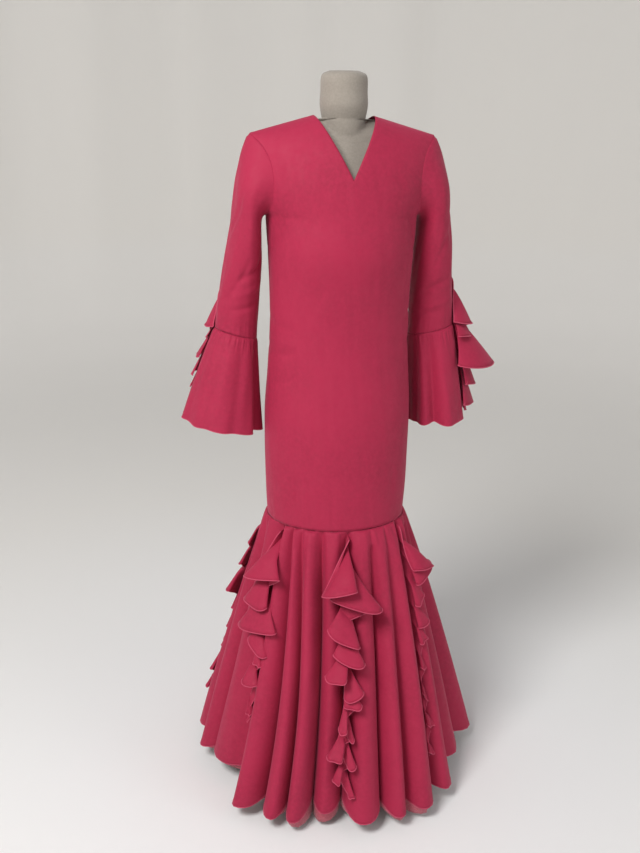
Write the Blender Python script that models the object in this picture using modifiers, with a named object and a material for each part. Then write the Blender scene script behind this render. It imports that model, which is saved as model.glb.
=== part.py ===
"""A flamenco dress on a limbless dress form.

Metres, +Z up, front towards -Y. The origin is on the floor under the form's pole. Left and right are the
wearer's, so the left side is at +X. Each piece of cloth is an open sheet, worked out from sections and
folds, that a Solidify modifier turns into a wall. Angles go round the axis from the front towards +X.
"""

import math
from collections import namedtuple

import bpy
from mathutils import Vector

# ---- Cloth and seams
WALL = 0.0016  # thickness of the crepe
TULLE_WALL = 0.0010  # thickness of the underskirt's net
SEAM_GAP = 0.0003
FLARE_GAP = 0.0009  # at a seam below which the cloth flares, so that the walls stay apart
ARMHOLE_GAP = 0.0028  # from the panel's edge, whose wall leans outwards there, to the sleeve's

# ---- Bodice, from the skirt seam up to the underarm
Section = namedtuple("Section", "z half_width front back")
BODY = (
    Section(0.616, 0.1510, 0.130, 0.134),
    Section(0.700, 0.1550, 0.124, 0.135),
    Section(0.790, 0.1570, 0.120, 0.137),
    Section(0.860, 0.1570, 0.115, 0.130),
    Section(0.945, 0.1515, 0.107, 0.113),
    Section(1.030, 0.1470, 0.105, 0.103),
    Section(1.115, 0.1475, 0.115, 0.102),
    Section(1.195, 0.1510, 0.128, 0.106),
    Section(1.270, 0.1560, 0.119, 0.110),
)
CHEST_Z = BODY[-1].z
HALF_COLUMNS = 6  # from the centre to the side seam

# ---- Yoke, from the underarm to the shoulder seam: the row's inner end and its end on the armhole
Yoke = namedtuple("Yoke", "neck_x neck_z arm_x arm_z")
YOKE_FRONT = (
    Yoke(0.000, 1.305, 0.1500, 1.300),
    Yoke(0.000, 1.340, 0.1485, 1.335),
    Yoke(0.020, 1.380, 0.1530, 1.370),
    Yoke(0.041, 1.420, 0.1660, 1.400),
    Yoke(0.062, 1.460, 0.1880, 1.425),
)
YOKE_BACK = (
    Yoke(0.000, 1.318, 0.1520, 1.300),
    Yoke(0.000, 1.366, 0.1520, 1.335),
    Yoke(0.000, 1.412, 0.1570, 1.370),
    Yoke(0.043, 1.434, 0.1690, 1.400),
    Yoke(0.062, 1.460, 0.1880, 1.425),
)
NECK_X, NECK_Z = YOKE_FRONT[-1].neck_x, YOKE_FRONT[-1].neck_z
TIP_X, TIP_Z = YOKE_FRONT[-1].arm_x, YOKE_FRONT[-1].arm_z
SHOULDER_SLOPE = (NECK_Z - TIP_Z) / (TIP_X - NECK_X)
YOKE_HALF_WIDTH = 0.204  # where the yoke's section would close at shoulder height

# ---- Sleeves: each ring's outermost and innermost points, its half depth and how far back it hangs
Ring = namedtuple("Ring", "out_x out_z in_x in_z half_depth y")
SLEEVES = {
    "right": (
        Ring(0.2125, 1.345, 0.1645, 1.258, 0.068, 0.008),
        Ring(0.2240, 1.270, 0.1640, 1.213, 0.063, 0.012),
        Ring(0.2375, 1.195, 0.1635, 1.160, 0.056, 0.018),
        Ring(0.2515, 1.108, 0.1680, 1.090, 0.048, 0.026),
        Ring(0.2605, 1.031, 0.1720, 1.007, 0.043, 0.032),
    ),
    "left": (
        Ring(0.2190, 1.345, 0.1645, 1.258, 0.068, 0.010),
        Ring(0.2330, 1.270, 0.1640, 1.213, 0.064, 0.016),
        Ring(0.2450, 1.195, 0.1630, 1.160, 0.058, 0.024),
        Ring(0.2550, 1.108, 0.1630, 1.090, 0.050, 0.034),
        Ring(0.2615, 1.029, 0.1640, 1.007, 0.045, 0.040),
    ),
}
# ---- Bell flounces below the elbow: the hem ring, its flutes and the angle of the first one
Bell = namedtuple("Bell", "hem_out_x hem_out_z hem_in_x hem_in_z half_depth y flutes flute_depth turn")
BELLS = {
    "right": Bell(0.3340, 0.836, 0.1630, 0.804, 0.088, 0.038, 5, 0.010, -36),
    "left": Bell(0.3020, 0.814, 0.1680, 0.804, 0.092, 0.060, 5, 0.009, 0),
}
BELL_COLUMNS, BELL_ROWS = 20, 4
FLUTE_CREST, FLUTE_VALLEY = 0.6, 1.4  # of the flutes' depth, out and in

# ---- Skirt
SEAM_Z = BODY[0].z
HEM_CREST_Z = 0.034
HEM_RISE = 0.28  # how much higher the hem is for each metre that it lies further in than HEM_LEVEL
HEM_LEVEL = 0.020
FOLD_GROWTH = 0.9  # the power of the skirt's length with which its folds deepen
HEM_RADIUS = 0.312  # at the hem, half way between crests and valleys
SKIRT_ROWS = 5
# A row for each fold: where its crest starts at the seam and ends at the hem, in degrees, and how far it
# stands out there, then the same for the valley after it
Fold = namedtuple("Fold", "top crest out dip_top dip valley")
FOLDS = (
    Fold(-54, -48, 0.034, -46, -40, 0.018),
    Fold(-43, -33, 0.030, -38, -29.5, 0.014),
    Fold(-30, -25.5, 0.028, -21, -19.5, 0.034),
    Fold(-12, -13.5, -0.004, 1, -6.5, 0.035),
    Fold(12, 1.5, 0.026, 21, 10.5, 0.020),
    Fold(28, 15.5, 0.030, 36, 21, 0.008),
    Fold(44, 27, 0.034, 52, 35.5, 0.036),
    Fold(58, 41, 0.020, 65, 53, 0.034),
    Fold(74, 66, -0.006, 83, 77, 0.030),
    Fold(92, 88, 0.034, 99, 97, 0.027),
    Fold(106, 105, 0.018, 114, 112, 0.032),
    Fold(122, 120, 0.020, 130, 128, 0.027),
    Fold(138, 136, 0.022, 146, 144, 0.032),
    Fold(154, 153, 0.020, 161, 161, 0.027),
    Fold(169, 169, 0.018, 177, 177, 0.032),
    Fold(186, 186, 0.020, 194, 195, 0.030),
    Fold(202, 204, 0.022, 210, 213, 0.030),
    Fold(219, 221, 0.020, 226, 229, 0.027),
    Fold(233, 237, 0.008, 240, 245, 0.032),
    Fold(249, 253, 0.008, 257, 261, 0.027),
    Fold(266, 270.5, 0.002, 272, 276.5, 0.022),
    Fold(283, 284, -0.020, 303, 303, 0.041),
)
# Each gore and the fold in whose valley the seam at its start lies
Gore = namedtuple("Gore", "name seam_fold")
GORES = (
    Gore("front_left", 3),
    Gore("side_left", 6),
    Gore("back_left", 10),
    Gore("back_right", 14),
    Gore("side_right", 18),
    Gore("front_right", 21),
)

# ---- Underskirt: it hangs inside the skirt and shows below the hem where it hangs lower
UNDERSKIRT_INSET, UNDERSKIRT_HEM_INSET = 0.0030, 0.012
UNDERSKIRT_TOP_Z = 0.612
UNDERSKIRT_HEM_Z = 0.036
UNDERSKIRT_ROWS = 3
# Where it hangs lower: the middle and half width of the dip in degrees, and its depth
Dip = namedtuple("Dip", "middle half_width depth")
UNDERSKIRT_DIPS = (Dip(-18, 15, 0.024), Dip(22, 12, 0.022), Dip(100, 18, 0.014), Dip(205, 22, 0.020))

# ---- Cascades: a spiral flounce set in each gore seam, that falls in leaves to one side and the other.
# A row for each tip: where its cloth leaves the seam, how far below that it hangs, and how far it
# reaches sideways and outwards.
Leaf = namedtuple("Leaf", "z drop reach lift")
SKIRT_LEAVES = (
    Leaf(0.608, 0.004, 0.000, 0.001),
    Leaf(0.594, 0.104, -0.064, 0.020),
    Leaf(0.562, 0.098, 0.064, 0.026),
    Leaf(0.508, 0.088, -0.056, 0.026),
    Leaf(0.462, 0.080, 0.030, 0.026),
    Leaf(0.436, 0.070, -0.042, 0.025),
    Leaf(0.402, 0.062, 0.034, 0.024),
    Leaf(0.378, 0.058, -0.054, 0.024),
    Leaf(0.334, 0.052, 0.028, 0.022),
    Leaf(0.300, 0.048, -0.034, 0.022),
    Leaf(0.262, 0.046, 0.026, 0.021),
    Leaf(0.226, 0.044, -0.046, 0.020),
    Leaf(0.186, 0.040, 0.020, 0.018),
    Leaf(0.150, 0.034, -0.036, 0.014),
    Leaf(0.118, 0.020, 0.006, 0.006),
)
# The gore at whose start it is sewn, the side that the first leaf falls to and the leaves' size
Cascade = namedtuple("Cascade", "name gore side size")
SKIRT_CASCADES = (
    Cascade("front", "front_left", 1, 1.00),
    Cascade("front_left", "side_left", -1, 0.95),
    Cascade("back_left", "back_left", 1, 0.92),
    Cascade("back", "back_right", -1, 1.00),
    Cascade("back_right", "side_right", 1, 0.95),
    Cascade("front_right", "front_right", 1, 0.90),
)
LEAF_LEVEL = 0.024  # how far out the leaves fall at the hem, over the crests beside the seam
LEAF_TURN, LEAF_RISE = 0.30, 0.45  # at half its width: its shares of the reach and of the lift
SLEEVE_LEAVES = {
    "right": (
        Leaf(1.112, 0.006, 0.000, 0.001),
        Leaf(1.098, 0.062, 0.034, 0.022),
        Leaf(1.066, 0.060, -0.030, 0.026),
        Leaf(1.030, 0.058, 0.034, 0.026),
        Leaf(0.994, 0.056, -0.036, 0.026),
        Leaf(0.950, 0.050, 0.026, 0.024),
        Leaf(0.912, 0.036, -0.020, 0.014),
    ),
    "left": (
        Leaf(1.118, 0.006, 0.000, 0.001),
        Leaf(1.098, 0.066, 0.034, 0.036),
        Leaf(1.062, 0.068, -0.036, 0.050),
        Leaf(1.026, 0.070, 0.040, 0.064),
        Leaf(0.984, 0.066, -0.038, 0.052),
        Leaf(0.944, 0.056, 0.030, 0.036),
        Leaf(0.900, 0.046, -0.020, 0.020),
    ),
}
SLEEVE_SEAM_TURN = {"right": -36, "left": 0}  # from the outermost line towards the back
LEAF_CLEARANCE = 0.0012  # from the cloth below to the middle of a leaf's wall, at the seam
LEAF_STEPS = 3  # points along the edge from tip to tip
LEAF_ACROSS = 2

# ---- Zip in the centre back seam
ZIP_TAPE_WIDTH, ZIP_TAPE_WALL = 0.022, 0.0008
ZIP_BOTTOM_Z = 0.860
SLIDER_SIZE = (0.0065, 0.0030, 0.0110)
SLIDER_FROM_TOP = 0.0080
PULL_SIZE = (0.0060, 0.0012, 0.0220)
PULL_GAP = 0.0008  # between slider and pull

# ---- Dress form: how far it stays inside the dress, at each height
FORM_POINTS = 24
FORM_EASE = (
    # z, ease
    (0.632, 0.0040),
    (0.700, 0.0030),
    (0.790, 0.0024),
    (0.860, 0.0030),
    (0.945, 0.0100),
    (1.030, 0.0160),
    (1.115, 0.0100),
    (1.195, 0.0024),
    (1.270, 0.0024),
    (1.310, 0.0050),
    (1.350, 0.0060),
    (1.390, 0.0060),
    (1.410, 0.0060),
    (1.424, 0.0007),
    (1.436, 0.0007),
    (1.448, 0.0007),
    (1.4520, 0.0012),
)
FORM_ROOF = 1.35  # how steeply the form's shoulders fall away from the ridge, as a share of its depth
FORM_ARM_EASE = 0.006
# The neck's rings above the shoulders
NeckRing = namedtuple("NeckRing", "z half_width half_depth y")
NECK = (
    NeckRing(1.455, 0.0440, 0.041, 0.000),
    NeckRing(1.480, 0.0480, 0.050, 0.001),
    NeckRing(1.505, 0.0470, 0.049, 0.002),
    NeckRing(1.530, 0.0465, 0.048, 0.002),
    NeckRing(1.540, 0.0420, 0.043, 0.002),
    NeckRing(1.545, 0.0300, 0.031, 0.002),
)
POLE_RADIUS = 0.0125
BASE_RADIUS, BASE_HEIGHT, BASE_EDGE = 0.170, 0.016, 0.003

Finish = namedtuple("Finish", "colour roughness metallic")
FINISHES = {
    "crepe": Finish((0.40, 0.026, 0.070), 0.75, 0.0),
    "tulle": Finish((0.36, 0.030, 0.060), 0.85, 0.0),
    "form_cover": Finish((0.42, 0.38, 0.34), 0.80, 0.0),
    "painted_steel": Finish((0.72, 0.71, 0.69), 0.35, 0.0),
    "zip_metal": Finish((0.55, 0.10, 0.14), 0.40, 0.6),
}


def material(name):
    found = bpy.data.materials.get(name)
    if found:
        return found
    finish = FINISHES[name]
    made = bpy.data.materials.new(name)
    made.use_nodes = True
    shader = made.node_tree.nodes["Principled BSDF"]
    shader.inputs["Base Color"].default_value = (*finish.colour, 1)
    shader.inputs["Roughness"].default_value = finish.roughness
    shader.inputs["Metallic"].default_value = finish.metallic
    return made


def fresh_collection(name):
    for old in list(bpy.data.objects):
        bpy.data.objects.remove(old, do_unlink=True)
    made = bpy.data.collections.new(name)
    bpy.context.scene.collection.children.link(made)
    return made


def add(collection, name, points, faces, finish):
    """An object with these points and faces, in the collection."""
    mesh = bpy.data.meshes.new(name)
    mesh.from_pydata(points, [], faces)
    mesh.materials.append(material(finish))
    mesh.shade_smooth()
    made = bpy.data.objects.new(name, mesh)
    collection.objects.link(made)
    return made


def grid_faces(rows, columns, closed=False):
    """Quads between rows of points. They face out where rows go up and columns go round towards +X."""
    faces = []
    for row in range(rows - 1):
        for column in range(columns if closed else columns - 1):
            here, beside = row * columns + column, row * columns + (column + 1) % columns
            faces.append((here, beside, beside + columns, here + columns))
    return faces


def add_cloth(collection, name, rows, finish="crepe", wall=WALL, offset=1, closed=False, mirror=False):
    """A wall on the sheet through the rows of points. An offset of 1 puts it outside the sheet."""
    points = [point for row in rows for point in row]
    made = add(collection, name, points, grid_faces(len(rows), len(rows[0]), closed), finish)
    if mirror:
        half = made.modifiers.new("other_half", "MIRROR")
        half.merge_threshold = 0.00002
    thick = made.modifiers.new("wall", "SOLIDIFY")
    thick.thickness = wall
    thick.offset = offset
    return made


def add_loft(collection, name, rings, finish):
    """A closed solid through rings of points, with a flat cap at each end."""
    count = len(rings[0])
    points = [point for ring in rings for point in ring]
    faces = grid_faces(len(rings), count, closed=True)
    faces.append(tuple(reversed(range(count))))
    faces.append(tuple(range(len(points) - count, len(points))))
    return add(collection, name, points, faces, finish)


def eased(table, column, at):
    """The column's value between the table's rows, which are in order of their first column."""
    keys = [row[0] for row in table]
    values = [row[column] for row in table]
    at = min(max(at, keys[0]), keys[-1])
    last = len(keys) - 1
    low = max(i for i in range(last) if keys[i] <= at)

    def slope(i):
        before, after = max(i - 1, 0), min(i + 1, last)
        return (values[after] - values[before]) / (keys[after] - keys[before])

    step = keys[low + 1] - keys[low]
    t = (at - keys[low]) / step
    return (
        values[low] * (1 + 2 * t) * (1 - t) ** 2
        + values[low + 1] * t * t * (3 - 2 * t)
        + slope(low) * step * t * (1 - t) ** 2
        - slope(low + 1) * step * t * t * (1 - t)
    )


def mirrored(rows):
    """The rows on the other side of the body, facing the same way as before."""
    return [[Vector((-point.x, point.y, point.z)) for point in reversed(row)] for row in rows]


# ---- Bodice


def body_point(degrees, z, ease=0.0):
    """A point of the bodice below the underarm, moved in by the ease."""
    angle = math.radians(degrees)
    depth = eased(BODY, 2 if math.cos(angle) > 0 else 3, z) - ease
    half_width = eased(BODY, 1, z) - ease
    return Vector((half_width * math.sin(angle), -depth * math.cos(angle), z))


def shoulder_z(x):
    return NECK_Z - SHOULDER_SLOPE * (abs(x) - NECK_X)


def yoke_half_width(z, ease=0.0):
    """Half the width at which the section above the underarm closes."""
    rise = min(max((z - CHEST_Z) / (TIP_Z - CHEST_Z), 0), 1)
    return BODY[-1].half_width + (YOKE_HALF_WIDTH - BODY[-1].half_width) * rise**0.7 - ease


def yoke_point(x, z, back, ease=0.0):
    """A point above the underarm, where front and back round over to meet at the shoulder seam."""
    depth = (BODY[-1].back if back else BODY[-1].front) - ease
    across = math.sqrt(max(0, 1 - (x / yoke_half_width(z, ease)) ** 2))
    rise = (z + ease - CHEST_Z) / (shoulder_z(x) - CHEST_Z)
    y = depth * across * math.sqrt(max(0, 1 - rise * rise))
    return Vector((x, y if back else -y, z))


def half_panel(yoke, back):
    """The half at +X of the front or the back, in rows from the skirt seam to the shoulder seam."""
    edge = SEAM_GAP / 2
    rows = []
    for section in BODY:
        turn = 90 / HALF_COLUMNS
        start = 90 if back else 0
        rows.append([body_point(start + turn * i, section.z) for i in range(HALF_COLUMNS + 1)])
    for row in yoke:
        points = []
        for i in range(HALF_COLUMNS + 1):
            share = math.sin(math.pi / 2 * i / HALF_COLUMNS)
            x = row.neck_x + (row.arm_x - row.neck_x) * share
            z = row.neck_z + (row.arm_z - row.neck_z) * share
            points.append(yoke_point(x, z, back))
        rows.append(list(reversed(points)) if back else points)
    for row in rows:
        for point in row:
            point.y = max(point.y, edge) if back else min(point.y, -edge)
        if back:
            row[-1].x = max(row[-1].x, edge)
    return rows


def add_bodice(collection):
    add_cloth(collection, "bodice_front", half_panel(YOKE_FRONT, back=False), mirror=True)
    back = half_panel(YOKE_BACK, back=True)
    add_cloth(collection, "bodice_back_left", back)
    add_cloth(collection, "bodice_back_right", mirrored(back))


# ---- Sleeves


def armhole():
    """The sleeve's edge at the armhole: from the shoulder tip down the front and up the back."""
    front, back = half_panel(YOKE_FRONT, back=False), half_panel(YOKE_BACK, back=True)
    underarm = len(BODY) - 1
    down = [row[-1] for row in reversed(front[underarm:])]
    up = [row[0] for row in back[underarm + 1 : -1]]
    middle = Vector((0, 0, (TIP_Z + CHEST_Z) / 2))
    edge = []
    for point in down + up:
        away = Vector((0, point.y, point.z)) - middle
        edge.append(point + away.normalized() * WALL + Vector((ARMHOLE_GAP, 0, 0)))
    return edge


def sleeve_ring(ring, count, extra=0.0, depth_extra=0.0, turn=0.0):
    """Points from the outermost one round by the front."""
    outer = Vector((ring.out_x, ring.y, ring.out_z))
    inner = Vector((ring.in_x, ring.y, ring.in_z))
    middle, half = (outer + inner) / 2, (outer - inner) / 2
    points = []
    for i in range(count):
        angle = math.tau * i / count + math.radians(turn)
        away = half * (1 + extra / half.length) * math.cos(angle)
        deep = Vector((0, -(ring.half_depth + depth_extra) * math.sin(angle), 0))
        points.append(middle + away + deep)
    return points


def bell_section(bell, ring, share):
    """The bell's ring at a share of its height, without flutes."""
    flare = share**0.85
    return Ring(
        ring.out_x + (bell.hem_out_x - ring.out_x) * flare,
        ring.out_z + (bell.hem_out_z - ring.out_z) * share,
        ring.in_x + (bell.hem_in_x - ring.in_x) * flare,
        ring.in_z + (bell.hem_in_z - ring.in_z) * share,
        ring.half_depth + (bell.half_depth - ring.half_depth) * flare,
        ring.y + (bell.y - ring.y) * share,
    )


def bell_ring(bell, ring, share):
    """The bell's points at a share of its height, with flutes that grow towards the hem."""
    section = bell_section(bell, ring, share)
    points = []
    for i, point in enumerate(sleeve_ring(section, BELL_COLUMNS)):
        angle = math.tau * i / BELL_COLUMNS
        middle = Vector(((section.out_x + section.in_x) / 2, section.y, point.z))
        wave = math.cos(bell.flutes * (angle - math.radians(bell.turn)))
        flute = wave - (FLUTE_VALLEY - FLUTE_CREST) / 2
        points.append(point + (point - middle).normalized() * (bell.flute_depth * flute * share))
    return points


def sleeve_place(side):
    """A function that gives the point of the sleeve's cascade at a height, sideways and outwards."""
    rings, bell = SLEEVES[side], BELLS[side]
    seam_turn = SLEEVE_SEAM_TURN[side]

    def place(z, along, out, width):
        if z >= rings[-1].out_z:
            high, low = rings[-2], rings[-1]
            share = (high.out_z - z) / (high.out_z - low.out_z)
            ring = Ring(*(a + (b - a) * share for a, b in zip(high, low)))
        else:
            share = (rings[-1].out_z - z) / (rings[-1].out_z - bell.hem_out_z)
            ring = bell_section(bell, rings[-1], share)
            out += bell.flute_depth * FLUTE_CREST * share
        half_width = (ring.out_x - ring.in_x) / 2
        angle = math.radians(seam_turn) + along / half_width
        middle_x = (ring.out_x + ring.in_x) / 2
        return Vector(
            (
                middle_x + (half_width + out) * math.cos(angle),
                ring.y - (ring.half_depth + out) * math.sin(angle),
                z,
            )
        )

    return place


def add_sleeve(collection, side):
    turned = mirrored if side == "right" else list
    rings, bell = SLEEVES[side], BELLS[side]
    edge = armhole()
    rows = [edge] + [sleeve_ring(ring, len(edge)) for ring in rings]
    add_cloth(collection, f"sleeve_{side}", turned(rows), offset=-1, closed=True)

    top = rings[-1]._replace(out_z=rings[-1].out_z - FLARE_GAP, in_z=rings[-1].in_z - FLARE_GAP)
    rows = [bell_ring(bell, top, step / BELL_ROWS) for step in range(BELL_ROWS + 1)]
    add_cloth(collection, f"sleeve_bell_{side}", turned(rows), offset=-1, closed=True)

    rows = cascade_rows(SLEEVE_LEAVES[side], sleeve_place(side))
    add_cloth(collection, f"sleeve_cascade_{side}", turned(rows), offset=0)


# ---- Skirt


def skirt_share(z):
    return (SEAM_Z - z) / (SEAM_Z - HEM_CREST_Z)


def skirt_columns():
    """Each column's angle at the seam and at the hem, and how far it stands out there."""
    columns = []
    for i, fold in enumerate(FOLDS):
        after = FOLDS[(i + 1) % len(FOLDS)]
        whole_turn = 360 if i + 1 == len(FOLDS) else 0
        crest = (fold.top, fold.crest, fold.out)
        dip = (fold.dip_top, fold.dip, -fold.valley)
        following = (after.top + whole_turn, after.crest + whole_turn, after.out)
        columns += [crest, between(crest, dip), dip, between(dip, following)]
    return columns


def between(column, other):
    return tuple((a + b) / 2 for a, b in zip(column, other))


def fold_angle(top, hem, share):
    """The angle of a line that runs straight down the skirt from its top to its hem."""
    radius = BODY[0].half_width
    weight = share * HEM_RADIUS / (share * HEM_RADIUS + (1 - share) * radius)
    return top + (hem - top) * weight


def skirt_point(degrees, z, out):
    """A point of the skirt: an oval at the seam that opens to a circle at the hem."""
    share = skirt_share(z)
    angle = math.radians(degrees)
    seam = BODY[0]
    depth = seam.front if math.cos(angle) > 0 else seam.back
    open_out = share**0.92
    half_width = seam.half_width + (HEM_RADIUS - seam.half_width) * open_out + out
    depth += (HEM_RADIUS - depth) * open_out + out
    return Vector((half_width * math.sin(angle), -depth * math.cos(angle), z))


def fold_point(column, z, extra=0.0, turn=0.0):
    """A point of a column of the folds, moved out by the extra and round by the turn."""
    top, hem, out_at_hem = column
    share = skirt_share(z)
    return skirt_point(fold_angle(top, hem, share) + turn, z, out_at_hem * share**FOLD_GROWTH + extra)


def hem_height(out_at_hem):
    """Crests hang a little lower than valleys."""
    return HEM_CREST_Z + HEM_RISE * max(0, HEM_LEVEL - out_at_hem)


def skirt_column(column, turn):
    """The points of a column, from the hem up to the seam."""
    top_z, hem_z = SEAM_Z - FLARE_GAP, hem_height(column[2])
    heights = [hem_z + (top_z - hem_z) * row / SKIRT_ROWS for row in range(SKIRT_ROWS + 1)]
    return [fold_point(column, z, WALL, turn) for z in heights]


def add_gores(collection):
    columns = skirt_columns()
    edge = math.degrees(SEAM_GAP / 2 / BODY[0].front)
    for gore, following in zip(GORES, GORES[1:] + GORES[:1]):
        start, end = 4 * gore.seam_fold + 2, 4 * following.seam_fold + 2
        if end < start:
            end += len(columns)
        inside = [columns[i % len(columns)] for i in range(start, end + 1)]
        turns = [edge] + [0] * (len(inside) - 2) + [-edge]
        upright = [skirt_column(column, turn) for column, turn in zip(inside, turns)]
        rows = [list(row) for row in zip(*upright)]
        add_cloth(collection, f"skirt_gore_{gore.name}", rows, offset=-1)


def underskirt_hem(degrees):
    """The height of the net's hem at an angle."""
    z = UNDERSKIRT_HEM_Z
    for dip in UNDERSKIRT_DIPS:
        away = abs((degrees - dip.middle + 180) % 360 - 180) / dip.half_width
        z -= dip.depth * max(0, 1 - away * away)
    return z


def add_underskirt(collection):
    rows = []
    for step in range(UNDERSKIRT_ROWS, -1, -1):
        share = step / UNDERSKIRT_ROWS
        inset = UNDERSKIRT_INSET + (UNDERSKIRT_HEM_INSET - UNDERSKIRT_INSET) * math.sqrt(share)
        row = []
        for column in skirt_columns()[::2]:
            z = UNDERSKIRT_TOP_Z + (underskirt_hem(column[1]) - UNDERSKIRT_TOP_Z) * share
            row.append(fold_point(column, z, -inset))
        rows.append(row)
    add_cloth(collection, "underskirt", rows, "tulle", TULLE_WALL, closed=True)


def cascade_rows(leaves, place):
    """The sheet of a flounce whose short edge is sewn to a seam and whose long edge swings from side to
    side. Its rows go from the seam to the long edge, its columns from the top to the bottom."""
    upright = []
    for leaf, following in zip(leaves, leaves[1:]):
        for step in range(LEAF_STEPS):
            upright.append((leaf, following, step / LEAF_STEPS))
    upright.append((leaves[-2], leaves[-1], 1.0))
    rows = []
    for across in range(LEAF_ACROSS + 1):
        width = across / LEAF_ACROSS
        bend = 4 * width * (1 - width)
        row = []
        for leaf, following, share in upright:
            swing = (1 - math.cos(math.pi * share)) / 2
            z = leaf.z + (following.z - leaf.z) * share
            drop = leaf.drop + (following.drop - leaf.drop) * share
            reach = leaf.reach + (following.reach - leaf.reach) * swing
            lift = leaf.lift + (following.lift - leaf.lift) * share
            aside = reach * (width + (LEAF_TURN - 0.5) * bend)
            out = LEAF_CLEARANCE + lift * (width + (LEAF_RISE - 0.5) * bend)
            row.append(place(z - drop * width, aside, out, width))
        rows.append(row)
    return rows


def skirt_place(cascade):
    """A function that gives the point of a skirt cascade at a height, sideways and outwards. Its sewn edge
    lies in the valley, and the rest of it falls over the crests beside."""
    gore = next(gore for gore in GORES if gore.name == cascade.gore)
    fold = FOLDS[gore.seam_fold]

    def place(z, along, out, width):
        share = skirt_share(z)
        radius = BODY[0].front + (HEM_RADIUS - BODY[0].front) * share
        degrees = fold_angle(fold.dip_top, fold.dip, share)
        degrees += math.degrees(along * cascade.side * cascade.size / radius)
        level = LEAF_LEVEL if width > 0 else -fold.valley
        return skirt_point(degrees, z, level * share**FOLD_GROWTH + WALL + out)

    return place


def add_skirt_cascades(collection):
    for cascade in SKIRT_CASCADES:
        rows = cascade_rows(SKIRT_LEAVES, skirt_place(cascade))
        add_cloth(collection, f"skirt_cascade_{cascade.name}", rows, offset=0)


# ---- Zip


def add_zip(collection):
    """The tape behind the centre back seam, and the slider and its pull at the top of it."""
    inwards = Vector((0, -SEAM_GAP - ZIP_TAPE_WALL - 0.0002, 0))
    rows = []
    for row in half_panel(YOKE_BACK, back=True):
        middle = Vector((0, row[-1].y, row[-1].z))
        beside = row[-2] - row[-1]
        if row[-1].z < ZIP_BOTTOM_Z or row[-1].x > SEAM_GAP:
            continue
        half = beside.normalized() * (ZIP_TAPE_WIDTH / 2)
        other = Vector((-half.x, half.y, half.z))
        rows.append([middle + half + inwards, middle + inwards, middle + other + inwards])
    add_cloth(collection, "zip_tape", rows, "crepe", ZIP_TAPE_WALL)

    below, top = rows[-2][1] - inwards, rows[-1][1] - inwards
    along = (top - below).normalized()
    outwards = Vector((0, along.z, -along.y))
    tilt = math.atan2(-along.y, along.z)
    surface = top - along * SLIDER_FROM_TOP + outwards * (WALL + SEAM_GAP)

    bpy.ops.mesh.primitive_cube_add(size=1, location=surface + outwards * (SLIDER_SIZE[1] / 2))
    slider = bpy.context.object
    finish_block(collection, slider, "zip_slider", SLIDER_SIZE, tilt)

    hinge = surface + outwards * (SLIDER_SIZE[1] + PULL_GAP + PULL_SIZE[1] / 2)
    bpy.ops.mesh.primitive_cube_add(size=1, location=(0, 0, -PULL_SIZE[2] / 2 / PULL_SIZE[2]))
    pull = bpy.context.object
    pull.data.transform(pull.matrix_basis)
    pull.location = hinge
    finish_block(collection, pull, "zip_pull", PULL_SIZE, tilt)


def finish_block(collection, block, name, size, tilt):
    """Sizes a unit cube's mesh, rounds it, names it and leans it back with the cloth."""
    block.name = block.data.name = name
    for vertex in block.data.vertices:
        vertex.co = Vector(a * b for a, b in zip(vertex.co, size))
    block.rotation_euler = (tilt, 0, 0)
    edges = block.modifiers.new("rounded", "BEVEL")
    edges.width = 0.0004
    block.data.materials.append(material("zip_metal"))
    move_to(collection, block)


def move_to(collection, made):
    for old in list(made.users_collection):
        old.objects.unlink(made)
    collection.objects.link(made)


# ---- Dress form


def form_half_width(z, ease):
    """Half the form's width above the underarm, where it ends inside the armholes and the shoulder seams."""
    heights = [CHEST_Z] + [row.arm_z for row in YOKE_FRONT]
    widths = [BODY[-1].half_width] + [row.arm_x for row in YOKE_FRONT]
    if z >= TIP_Z:
        return NECK_X + (NECK_Z - z - ease) / SHOULDER_SLOPE
    high = next(i for i, height in enumerate(heights) if height > z)
    share = (z - heights[high - 1]) / (heights[high] - heights[high - 1])
    return widths[high - 1] + (widths[high] - widths[high - 1]) * share - FORM_ARM_EASE


def form_ring(z, ease):
    """The form's section inside the bodice."""
    ring = []
    for i in range(FORM_POINTS):
        angle = math.tau * i / FORM_POINTS
        if z <= CHEST_Z:
            ring.append(body_point(math.degrees(angle), z, ease))
            continue
        back = math.cos(angle) < 0
        x = form_half_width(z, ease) * math.sin(angle)
        point = yoke_point(x, z, back, ease)
        rise = (z + ease - CHEST_Z) / (shoulder_z(x) - CHEST_Z)
        depth = (BODY[-1].back if back else BODY[-1].front) * FORM_ROOF * max(0, 1 - rise)
        depth = max(depth, NECK[0].half_depth * math.sqrt(max(0, 1 - (x / NECK[0].half_width) ** 2)))
        point.y = min(point.y, depth) if back else max(point.y, -depth)
        if abs(math.cos(angle)) < 0.001:
            point.y = 0
        ring.append(point)
    return ring


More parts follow.
